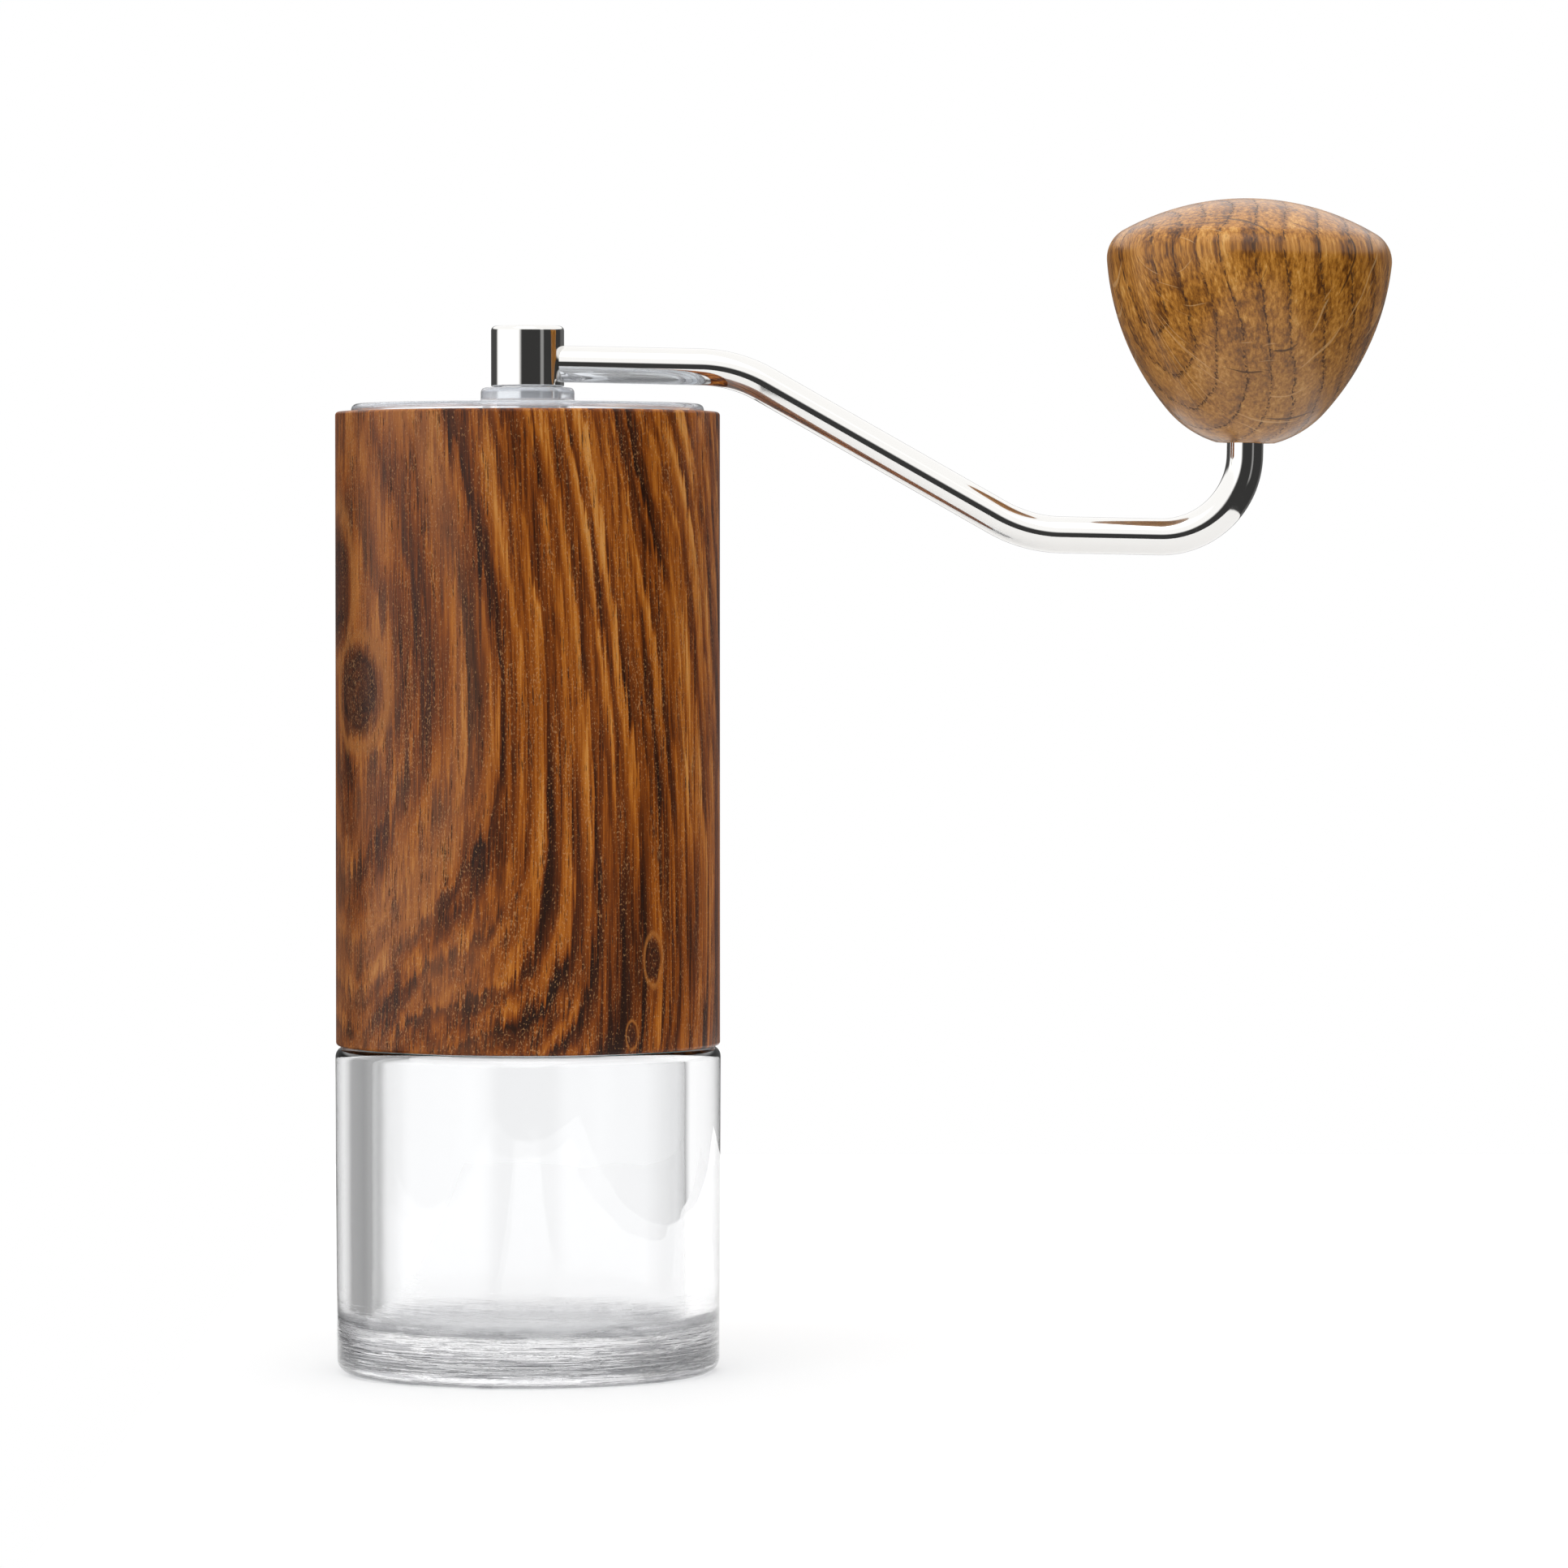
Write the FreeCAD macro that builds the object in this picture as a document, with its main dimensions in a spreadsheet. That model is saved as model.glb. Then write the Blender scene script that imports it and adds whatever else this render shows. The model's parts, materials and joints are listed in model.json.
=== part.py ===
"""Hand coffee grinder with a conical burr, a turned wooden sleeve, a clear jar and a bent crank.

Millimetres, +Z up. The origin is the centre of the jar's flat base, on the drive shaft's axis,
and the crank arm points along +X. Every driving dimension is a cell of the Sizes sheet.
"""
import FreeCAD
import Part
import math
import os
import re

import Sketcher

doc = FreeCAD.newDocument("BurrCoffeeGrinder")
V = FreeCAD.Vector
X_AXIS, Y_AXIS, Z_AXIS = V(1, 0, 0), V(0, 1, 0), V(0, 0, 1)

# ---------------------------------------------------------------- driving dimensions
SIZES = {
    # clear jar
    "jar_radius": 30.1,          # at the shoulder
    "jar_foot_radius": 29.9,     # at the base, so that the mould releases
    "jar_foot_round": 2.2,
    "jar_bore": 24.5,
    "jar_bore_round": 2.6,
    "jar_floor": 7.2,
    "jar_height": 50.9,          # to the shoulder
    "jar_shoulder_round": 1.6,
    "neck_radius": 26.0,
    "neck_height": 7.4,
    "neck_round": 0.4,
    # screw thread between the jar and the burr housing
    "thread_pitch": 3.0,
    "thread_depth": 0.85,
    "thread_crest": 0.6,
    "thread_root": 1.6,
    "thread_turns": 1.25,
    "thread_start": 2.1,         # ridge centre above the shoulder
    "thread_play": 0.2,
    "thread_run_in": 1.0,        # turns of groove below the ridge's start
    "thread_run_out": 0.25,      # turns of groove past the ridge's end
    "jar_seal_radius": 27.7,
    "jar_seal_bore": 26.15,
    "jar_seal_height": 0.6,
    "jar_seal_gap": 0.1,
    # wooden sleeve and the steel tube inside it
    "sleeve_radius": 30.0,
    "sleeve_bore": 28.0,
    "sleeve_base": 51.1,
    "sleeve_height": 98.8,
    "sleeve_round": 0.5,
    "liner_radius": 27.95,
    "liner_bore": 26.8,
    "liner_base": 61.9,
    "liner_top": 148.5,
    # burr housing
    "skirt_base": 51.8,
    "skirt_bore": 26.2,
    "skirt_top": 61.8,
    "floor_base": 59.2,
    "floor_top": 61.2,
    "floor_bore": 20.2,
    "frame_radius": 26.75,       # everything that slips inside the steel tube
    "housing_top": 87.95,
    # ring burr
    "ring_radius": 24.0,
    "ring_play": 0.05,
    "ring_foot_bore": 19.7,
    "ring_waist_bore": 18.25,
    "ring_throat_bore": 17.0,
    "ring_throat": 75.5,
    "ring_top": 80.0,
    "waist": 67.2,               # height where fine teeth end and crushing flutes begin
    "ring_teeth": 30,
    "ring_tooth_depth": 0.8,
    # cone burr
    "cone_base": 60.9,
    "cone_foot_radius": 19.35,
    "cone_waist_radius": 17.9,
    "cone_top_radius": 8.0,
    "cone_top": 76.0,
    "cone_teeth": 36,
    "cone_tooth_depth": 0.9,
    "flutes": 6,
    "flute_radius": 2.4,
    "flute_stand_off": 0.7,      # of a flute's centre line, out from the cone's flank
    "flute_length": 24.0,
    "flute_skew": 28.0,          # degrees from straight down the flank
    "key_slot_width": 2.2,
    "key_slot_length": 11.0,
    "key_slot_floor": 70.2,
    # drive shaft
    "shaft_radius": 2.98,
    "shaft_shoulder_radius": 3.9,
    "shaft_base": 52.2,
    "shaft_top": 151.5,
    "hex_base": 142.0,
    "hex_flats": 5.6,
    "hex_play": 0.1,
    "sliding_bore": 3.02,
    "pin_radius": 1.0,
    "pin_length": 10.0,
    "pin_height": 72.5,
    # grind adjustment
    "dial_radius": 14.0,
    "dial_base": 55.0,
    "dial_top": 60.0,
    "dial_hub_radius": 5.5,
    "dial_hub_top": 60.75,
    "dial_grips": 12,
    "dial_grip_radius": 2.6,
    "dial_grip_circle": 15.6,
    "click_circle": 8.5,
    "clicks": 12,
    "click_dimple_radius": 0.9,
    "click_dimple_depth": 0.4,
    "click_ball_radius": 1.5,
    "click_ball_height": 61.55,
    "click_hole_radius": 1.55,
    "click_hole_top": 66.0,
    "click_spring_base": 63.15,
    "click_spring_top": 65.9,
    "stop_clip_base": 52.9,
    # preload spring
    "spring_radius": 5.0,
    "spring_wire": 0.5,
    "spring_turns": 4.0,
    "spring_base": 76.06,
    "spring_top": 83.18,
    "washer_radius": 6.3,
    "washer_height": 0.7,
    # ball bearings, 6 x 19 x 6
    "race_radius": 9.5,
    "race_land": 7.6,
    "inner_race_land": 4.9,
    "race_bore": 3.0,
    "bearing_width": 6.0,
    "ball_circle": 6.25,
    "ball_radius": 1.75,
    "ball_play": 0.12,
    "balls": 7,
    "cage_height": 4.4,
    "cage_bore": 5.75,
    "cage_radius": 6.75,
    "shield_bore": 5.2,
    "shield_height": 0.3,
    "lower_bearing": 84.0,
    "upper_bearing": 132.0,
    # bridges that carry the bearings, measured from a bridge's closed end
    "bridge_height": 12.0,
    "bridge_hub_radius": 12.0,
    "bridge_lip_bore": 7.6,
    "bridge_seat": 4.0,
    "bridge_seat_radius": 9.52,
    "web_base": 1.0,
    "web_top": 6.0,
    "window_radius": 23.2,
    "window_half_angle": 52.0,
    "upper_bridge_base": 128.0,
    "lower_bridge_top": 94.0,
    "clip_height": 0.8,
    "retainer_base": 10.1,
    "retainer_height": 1.0,
    "retainer_radius": 10.0,
    "retainer_bore": 8.2,
    # posts and screws
    "post_radius": 2.5,
    "post_circle": 23.6,
    "post_screw_radius": 1.5,
    "post_screw_length": 11.0,
    "post_screw_head": 2.75,
    "post_screw_head_height": 2.4,
    "housing_screw_circle": 25.4,
    "housing_screw_radius": 1.0,
    "housing_screw_length": 12.0,
    "housing_screw_head": 1.3,
    "housing_screw_head_height": 1.3,
    "burr_screw_circle": 22.1,
    "burr_screw_radius": 1.0,
    "burr_screw_length": 8.0,
    "burr_screw_head": 1.7,
    "burr_screw_head_height": 1.1,
    # lid
    "lid_radius": 27.5,
    "lid_rim_top": 151.1,
    "lid_crown": 151.45,
    "lid_rim_base": 148.55,
    "lid_collar_radius": 7.3,
    "lid_collar_top": 153.7,
    "lid_bore": 4.85,
    "lid_boss_radius": 8.2,
    "lid_boss_base": 148.3,
    "lid_ceiling": 149.1,
    "lid_skirt_radius": 26.3,
    "lid_skirt_bore": 24.2,
    "lid_skirt_base": 141.5,
    "lid_groove_base": 144.6,
    "lid_groove_height": 1.4,
    "lid_groove_radius": 25.45,
    "lid_rim_round": 0.9,
    "lid_collar_round": 0.8,
    "lid_seal_circle": 26.05,
    "lid_seal_wire": 0.55,
    # crank
    "hub_radius": 5.7,
    "hub_base": 153.85,
    "hub_top": 163.3,
    "hub_round": 0.7,
    "stem_radius": 4.8,
    "stem_base": 142.5,
    "socket_top": 152.2,
    "stem_groove_radius": 4.25,
    "stem_groove_base": 147.15,
    "stem_groove_height": 0.9,
    "lid_clip_radius": 6.5,
    "arm_height": 157.5,
    "arm_droop": 1.2,            # degrees that the arm dips below level
    "arm_radius": 2.85,
    "arm_root": -1.9,
    "arm_play": 0.02,
    "elbow_reach": 32.35,
    "knee_reach": 78.45,
    "crank_reach": 112.2,
    "arm_drop": 25.0,
    "elbow_bend": 21.0,
    "wrist_bend": 13.0,
    "arm_tip": 13.0,
    # knob, measured from its own lowest point
    "knob_drop": 10.7,           # lowest point below the arm's root line
    "knob_height": 38.7,
    "knob_radius": 22.2,
    "knob_nose_bend": 16.3,
    "knob_side_bend": 41.0,
    "knob_shoulder_bend": 5.0,
    "knob_crown_bend": 39.5,
    "knob_bore": 4.3,
    "knob_bore_depth": 27.0,
    "bush_radius": 4.25,
    "bush_bore": 2.9,
    "bush_base": 0.9,
    "bush_top": 22.0,
    "snap_base": 22.15,
    "snap_height": 0.8,
    "snap_radius": 3.9,
    "snap_groove_radius": 2.35,
}

sheet = doc.addObject("Spreadsheet::Sheet", "Sizes")
for row, (alias, number) in enumerate(SIZES.items(), 1):
    sheet.set(f"A{row}", alias)
    sheet.set(f"B{row}", str(number))
    sheet.setAlias(f"B{row}", alias)
doc.recompute()

sub_parts = {}


# ---------------------------------------------------------------- helpers
def bound(expression):
    """An expression on the sheet's aliases, in the form that setExpression takes."""
    return re.sub(
        r"[a-z_]+", lambda word: "Sizes." + word[0] if word[0] in SIZES else word[0], str(expression)
    )


def size(expression):
    """The value of an expression on the sheet's aliases."""
    return float(sheet.evalExpression(bound(expression)))


def bind(thing, **properties):
    """Binds an object's properties to expressions on the sheet."""
    for name, expression in properties.items():
        thing.setExpression(name, bound(expression))
    return thing


def keep(name, thing):
    """Registers a finished sub-part under the name of its file."""
    thing.Label = name
    sub_parts[name] = thing
    return thing


def turn_about_z(degrees):
    return FreeCAD.Placement(V(0, 0, 0), FreeCAD.Rotation(Z_AXIS, degrees))


def spaced(count, first=0.0):
    """Angles of count places, evenly spaced round the axis."""
    return [first + 360.0 * k / count for k in range(count)]


def origin_plane(body, role):
    return next(feature for feature in body.Origin.OriginFeatures if feature.Role == role)


def sketch_on(body, name, plane="XZ_Plane", height=None):
    """A sketch on one of a body's own planes, at a height bound to the sheet."""
    sketch = body.newObject("Sketcher::SketchObject", name)
    sketch.AttachmentSupport = (origin_plane(body, plane), [""])
    sketch.MapMode = "FlatFace"
    if height is not None:
        sketch.setExpression("AttachmentOffset.Base.z", bound(height))
    return sketch


def fix_distance(sketch, direction, line, end, expression):
    """Pins one end of a sketch line at a bound distance across (X) or up (Y) from the origin."""
    if size(expression) == 0:
        sketch.addConstraint(
            Sketcher.Constraint("PointOnObject", line, end, -2 if direction == "X" else -1))
        return
    index = sketch.addConstraint(
        Sketcher.Constraint("Distance" + direction, -1, 1, line, end, size(expression)))
    sketch.setExpression(f"Constraints[{index}]", bound(expression))


def fix_radius(sketch, curve, expression):
    index = sketch.addConstraint(Sketcher.Constraint("Radius", curve, size(expression)))
    sketch.setExpression(f"Constraints[{index}]", bound(expression))


def fix_point(sketch, line, end, across, up):
    """Pins one end of a sketch line at two bound distances from the sketch's origin."""
    fix_distance(sketch, "X", line, end, across)
    fix_distance(sketch, "Y", line, end, up)


def draw_outline(sketch, outline):
    """A closed outline of straight lines through points given as pairs of expressions."""
    points = [V(size(across), size(up), 0) for across, up in outline]
    count = len(points)
    for k in range(count):
        sketch.addGeometry(Part.LineSegment(points[k], points[(k + 1) % count]), False)
    for k in range(count):
        sketch.addConstraint(Sketcher.Constraint("Coincident", k, 2, (k + 1) % count, 1))
    for k, (across, up) in enumerate(outline):
        fix_point(sketch, k, 1, across, up)


def draw_circle(sketch, radius, across="0", up="0"):
    """A circle whose radius and centre are bound to the sheet."""
    circle = sketch.addGeometry(
        Part.Circle(V(size(across), size(up), 0), V(0, 0, 1), size(radius)), False)
    fix_radius(sketch, circle, radius)
    fix_point(sketch, circle, 3, across, up)


def turned(name, outline):
    """A body turned round the Z axis from an outline of (radius, height) points."""
    body = doc.addObject("PartDesign::Body", name)
    sketch = sketch_on(body, name + "_outline")
    draw_outline(sketch, outline)
    revolution = body.newObject("PartDesign::Revolution", name + "_turned")
    revolution.Profile = sketch
    revolution.ReferenceAxis = (sketch, ["V_Axis"])
    revolution.Angle = 360
    doc.recompute()
    return body


def ring(name, bore, radius, base, height):
    """A plain ring or washer."""
    top = f"{base} + {height}"
    return turned(name, [(bore, base), (radius, base), (radius, top), (bore, top)])


def round_edges(body, amount, spots):
    """Fillets the circular edges of a body that lie at (radius, height) spots."""
    base = body.Tip
    names = []
    for radius, height in spots:
        for number, edge in enumerate(base.Shape.Edges, 1):
            curve = edge.Curve
            if (isinstance(curve, Part.Circle) and abs(curve.Radius - size(radius)) < 0.01
                    and abs(curve.Center.z - size(height)) < 0.01
                    and math.hypot(curve.Center.x, curve.Center.y) < 0.01):
                names.append(f"Edge{number}")
    if len(names) < len(spots):
        raise RuntimeError(f"{body.Label}: only {len(names)} of {len(spots)} edges to round were found")
    fillet = body.newObject("PartDesign::Fillet", body.Name + "_round")
    fillet.Base = (base, names)
    bind(fillet, Radius=amount)
    doc.recompute()
    return body


def pocket(body, sketch, depth=None, upwards=False):
    """Cuts a sketch into a body: down from the sketch's plane, or up, or right through."""
    volume = body.Shape.Volume
    cut = body.newObject("PartDesign::Pocket", sketch.Name + "_cut")
    cut.Profile = sketch
    cut.Reversed = upwards
    if depth is None:
        cut.Type = "ThroughAll"
    else:
        bind(cut, Length=depth)
    doc.recompute()
    if body.Shape.Volume > volume - 1e-3:
        raise RuntimeError(f"{sketch.Name} cuts nothing")
    return cut


def groove(body, sketch):
    """Cuts a sketch into a body all the way round its Z axis."""
    volume = body.Shape.Volume
    cut = body.newObject("PartDesign::Groove", sketch.Name + "_cut")
    cut.Profile = sketch
    cut.ReferenceAxis = (sketch, ["V_Axis"])
    cut.Angle = 360
    doc.recompute()
    if body.Shape.Volume > volume - 1e-3:
        raise RuntimeError(f"{sketch.Name} cuts nothing")


def repeat_round_axis(body, features, count):
    """Repeats features evenly round the Z axis, and makes the pattern the body's tip."""
    pattern = body.newObject("PartDesign::PolarPattern", features[-1].Name + "_pattern")
    pattern.Originals = features
    pattern.Axis = (origin_plane(body, "Z_Axis"), [""])
    pattern.Angle = 360
    bind(pattern, Occurrences=count)
    body.Tip = pattern
    doc.recompute()


def solid(kind, name, placement=None, **properties):
    """A Part primitive whose sizes are bound to the sheet."""
    thing = bind(doc.addObject("Part::" + kind, name), **properties)
    if placement is not None:
        thing.Placement = placement
    return thing


def combine(kind, name, base, tool):
    """A boolean of two objects: Cut, Fuse or Common."""
    result = doc.addObject("Part::" + kind, name)
    result.Base = base
    result.Tool = tool
    return result


def group(name, members):
    """Several like pieces kept together under one name, as separate solids."""
    compound = doc.addObject("Part::Compound", name)
    compound.Links = members
    return compound


def around(radius, height, degrees):
    """A place on a circle round the axis, turned to face outwards."""
    return turn_about_z(degrees).multiply(FreeCAD.Placement(V(size(radius), 0, size(height)),
                                                            FreeCAD.Rotation()))


def screw(name, head, head_height, shank, length, placement):
    """A cap screw: its head stands on the placement's plane and its shank hangs below."""
    shank_solid = solid("Cylinder", name + "_shank",
                        placement.multiply(FreeCAD.Placement(V(0, 0, -size(length)), FreeCAD.Rotation())),
                        Radius=shank, Height=length)
    head_solid = solid("Cylinder", name + "_head", placement, Radius=head, Height=head_height)
    socket = solid("Prism", name + "_socket",
                   placement.multiply(FreeCAD.Placement(V(0, 0, size(head_height) / 2),
                                                        FreeCAD.Rotation())),
                   Circumradius=f"{head} * 0.55", Height=head_height)
    socket.Polygon = 6
    return combine("Cut", name, combine("Fuse", name + "_blank", shank_solid, head_solid), socket)


UPSIDE_DOWN = FreeCAD.Placement(V(0, 0, 0), FreeCAD.Rotation(X_AXIS, 180))


# ---------------------------------------------------------------- jar
def thread_profile(body, name, depth_from, depth_to, root, crest, centre):
    """The four-sided section of a screw ridge or groove."""
    sketch = sketch_on(body, name)
    draw_outline(sketch, [
        (depth_from, f"{centre} - {root} / 2"), (depth_to, f"{centre} - {crest} / 2"),
        (depth_to, f"{centre} + {crest} / 2"), (depth_from, f"{centre} + {root} / 2")])
    return sketch


def wind(body, kind, sketch, rise, pitch):
    """Winds a section round the axis as a right-hand screw that climbs by rise."""
    helix = body.newObject("PartDesign::" + kind, sketch.Name + "_screw")
    helix.Profile = sketch
    helix.ReferenceAxis = (sketch, ["V_Axis"])
    helix.Mode = 0
    bind(helix, Pitch=pitch, Height=rise)
    doc.recompute()


def make_jar():
    """Thick clear jar with a heavy floor, a round shoulder and a threaded neck."""
    neck_top = "jar_height + neck_height"
    jar = turned("jar", [
        ("0", "0"), ("jar_foot_radius", "0"), ("jar_radius", "jar_height"), ("neck_radius", "jar_height"),
        ("neck_radius", neck_top), ("jar_bore", neck_top), ("jar_bore", "jar_floor"), ("0", "jar_floor")])
    round_edges(jar, "jar_foot_round", [("jar_foot_radius", "0")])
    round_edges(jar, "jar_shoulder_round", [("jar_radius", "jar_height")])
    round_edges(jar, "jar_bore_round", [("jar_bore", "jar_floor")])
    round_edges(jar, "neck_round", [("neck_radius", neck_top), ("jar_bore", neck_top)])
    ridge = thread_profile(
        jar, "jar_ridge", "neck_radius - thread_play", "neck_radius + thread_depth",
        "thread_root", "thread_crest", "(jar_height + thread_start)")
    wind(jar, "AdditiveHelix", ridge, "thread_pitch * thread_turns", "thread_pitch")
    keep("jar", jar)


def make_jar_seal():
    keep("jar_seal", ring("jar_seal", "jar_seal_bore", "jar_seal_radius",
                          "jar_height + jar_seal_gap", "jar_seal_height"))


# ---------------------------------------------------------------- body shells
def make_wood_sleeve():
    """Turned wooden sleeve, eased at both outer edges."""
    top = "sleeve_base + sleeve_height"
    sleeve = turned("wood_sleeve", [
        ("sleeve_bore", "sleeve_base"), ("sleeve_radius", "sleeve_base"),
        ("sleeve_radius", top), ("sleeve_bore", top)])
    round_edges(sleeve, "sleeve_round", [("sleeve_radius", "sleeve_base"), ("sleeve_radius", top)])
    keep("wood_sleeve", sleeve)


def make_liner_tube():
    keep("liner_tube", ring("liner_tube", "liner_bore", "liner_radius",
                            "liner_base", "liner_top - liner_base"))


def make_burr_housing():
    """Moulded ring that holds the ring burr and screws onto the jar."""
    housing = turned("burr_housing", [
        ("skirt_bore", "skirt_base"), ("liner_radius", "skirt_base"), ("liner_radius", "skirt_top"),
        ("frame_radius", "skirt_top"), ("frame_radius", "housing_top"),
        ("ring_radius + ring_play", "housing_top"), ("ring_radius + ring_play", "floor_top"),
        ("floor_bore", "floor_top"), ("floor_bore", "floor_base"), ("skirt_bore", "floor_base")])
    screw_groove = thread_profile(
        housing, "housing_groove", "skirt_bore - thread_play",
        "neck_radius + thread_depth + thread_play", "thread_root + 2 * thread_play",
        "thread_crest + 2 * thread_play", "(jar_height + thread_start - thread_run_in * thread_pitch)")
    wind(housing, "SubtractiveHelix", screw_groove,
         "thread_pitch * (thread_run_in + thread_turns + thread_run_out)", "thread_pitch")
    for name, radius, depth in (("burr_screw_way", "burr_screw_radius", "3 * burr_screw_head_height"),
                                ("burr_screw_recess", "burr_screw_head", "burr_screw_head_height")):
        sketch = sketch_on(housing, name, "XY_Plane", "floor_base")
        for degrees in spaced(3, 60):
            draw_circle(sketch, radius, f"burr_screw_circle * cos({degrees})",
                        f"burr_screw_circle * sin({degrees})")
        pocket(housing, sketch, depth, upwards=True)
    sketch = sketch_on(housing, "housing_screw_thread", "XY_Plane", "housing_top")
    draw_circle(sketch, "housing_screw_radius", "housing_screw_circle")
    repeat_round_axis(housing, [pocket(housing, sketch, "housing_screw_length")], 3)
    sketch = sketch_on(housing, "post_screw_room", "XY_Plane", "housing_top")
    draw_circle(sketch, "post_screw_head + 0.6", "-post_circle")
    repeat_round_axis(housing, [pocket(housing, sketch, "post_screw_head_height + 0.3")], 3)
    keep("burr_housing", housing)


# ---------------------------------------------------------------- burrs
def notch(body, name, plane_height, tip, width, mouth, count, depth=None, upwards=False):
    """Cuts a V-shaped tooth gap into a burr and repeats it round the axis."""
    sketch = sketch_on(body, name, "XY_Plane", plane_height)
    draw_outline(sketch, [(tip, "0"), (mouth, f"{width} / 2"), (mouth, f"-{width} / 2")])
    repeat_round_axis(body, [pocket(body, sketch, depth, upwards)], count)


def make_ring_burr():
    """Fixed outer burr: a steel ring with teeth down its tapering bore."""
    burr = turned("ring_burr", [
        ("ring_foot_bore", "floor_top"), ("ring_radius", "floor_top"), ("ring_radius", "ring_top"),
        ("ring_throat_bore", "ring_throat"), ("ring_waist_bore", "waist")])
    notch(burr, "ring_tooth_gap", "floor_top", "ring_foot_bore + ring_tooth_depth", "1.8",
          "ring_throat_bore - 0.4", "ring_teeth", "waist - floor_top + 3", upwards=True)
    sketch = sketch_on(burr, "burr_screw_thread", "XY_Plane", "floor_top")
    for degrees in spaced(3, 60):
        draw_circle(sketch, "burr_screw_radius", f"burr_screw_circle * cos({degrees})",
                    f"burr_screw_circle * sin({degrees})")
    pocket(burr, sketch, "burr_screw_length", upwards=True)
    keep("ring_burr", burr)


def flute_cutters():
    """Round cutters that lie along the cone's flank, skewed, and run out past its waist."""
    fall, spread = size("cone_top - waist"), size("cone_waist_radius - cone_top_radius")
    outward = V(fall, 0, spread).normalize()
    down_flank = FreeCAD.Rotation(outward, size("flute_skew")).multVec(V(spread, 0, -fall).normalize())
    middle = V(size("(cone_waist_radius + cone_top_radius) / 2"), 0, size("(cone_top + waist) / 2"))
    start = middle + outward * size("flute_stand_off") - down_flank * (size("flute_length") / 2)
    along = FreeCAD.Placement(start, FreeCAD.Rotation(Z_AXIS, down_flank))
    cutters = doc.addObject("Part::MultiFuse", "flute_cutters")
    cutters.Shapes = [
        solid("Cylinder", f"flute_cutter_{number}", turn_about_z(degrees).multiply(along),
              Radius="flute_radius", Height="flute_length")
        for number, degrees in enumerate(spaced(SIZES["flutes"], 30))]
    return cutters


def make_cone_burr():
    """Turning inner burr: crushing flutes above, fine teeth below, keyed to the shaft by a pin."""
    burr = turned("cone_burr_blank", [
        ("sliding_bore", "cone_base"), ("cone_foot_radius", "cone_base"),
        ("cone_waist_radius", "waist"), ("cone_top_radius", "cone_top"), ("sliding_bore", "cone_top")])
    notch(burr, "cone_tooth_gap", "waist", "cone_waist_radius - cone_tooth_depth", "1.8",
          "cone_foot_radius + 1", "cone_teeth")
    slot = sketch_on(burr, "key_slot", "XY_Plane", "cone_top")
    draw_outline(slot, [
        ("key_slot_length / 2", "key_slot_width / 2"), ("-key_slot_length / 2", "key_slot_width / 2"),
        ("-key_slot_length / 2", "-key_slot_width / 2"), ("key_slot_length / 2", "-key_slot_width / 2")])
    pocket(burr, slot, "cone_top - key_slot_floor")
    clicks = sketch_on(burr, "click_hole", "XY_Plane", "cone_base")
    for side in (1, -1):
        draw_circle(clicks, "click_hole_radius", "0", f"{side} * click_circle")
    pocket(burr, clicks, "click_hole_top - cone_base", upwards=True)
    keep("cone_burr", combine("Cut", "cone_burr", burr, flute_cutters()))


def make_click_pieces():
    """Two sprung balls in the cone burr that click over the dial's dimples."""
    balls, springs = [], []
    for number, degrees in enumerate(spaced(2, 90)):
        balls.append(solid("Sphere", f"click_ball_{number}",
                           around("click_circle", "click_ball_height", degrees),
                           Radius="click_ball_radius"))
        place = around("click_circle", "click_spring_base", degrees)
        height = "click_spring_top - click_spring_base"
        outer = solid("Cylinder", f"click_spring_outer_{number}", place,
                      Radius="click_hole_radius - 0.15", Height=height)
        inner = solid("Cylinder", f"click_spring_inner_{number}", place,
                      Radius="click_hole_radius - 0.55", Height=height)
        springs.append(combine("Cut", f"click_spring_{number}", outer, inner))
    keep("click_balls", group("click_balls", balls))
    keep("click_springs", group("click_springs", springs))


def make_adjusting_dial():
    """Nut that sets the grind: it screws along the shaft and carries the cone burr."""
    dial = turned("adjusting_dial", [
        ("sliding_bore", "dial_base"), ("dial_radius", "dial_base"), ("dial_radius", "dial_top"),
        ("dial_hub_radius", "dial_top"), ("dial_hub_radius", "dial_hub_top"),
        ("sliding_bore", "dial_hub_top")])
    round_edges(dial, "0.6", [("dial_radius", "dial_base"), ("dial_radius", "dial_top")])
    grip = sketch_on(dial, "dial_grip", "XY_Plane", "dial_top")
    draw_circle(grip, "dial_grip_radius", "dial_grip_circle")
    repeat_round_axis(dial, [pocket(dial, grip)], "dial_grips")
    dimple = sketch_on(dial, "dial_dimple", "XY_Plane", "dial_top")
    draw_circle(dimple, "click_dimple_radius", "click_circle")
    repeat_round_axis(dial, [pocket(dial, dimple, "click_dimple_depth")], "clicks")
    keep("adjusting_dial", dial)


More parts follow.
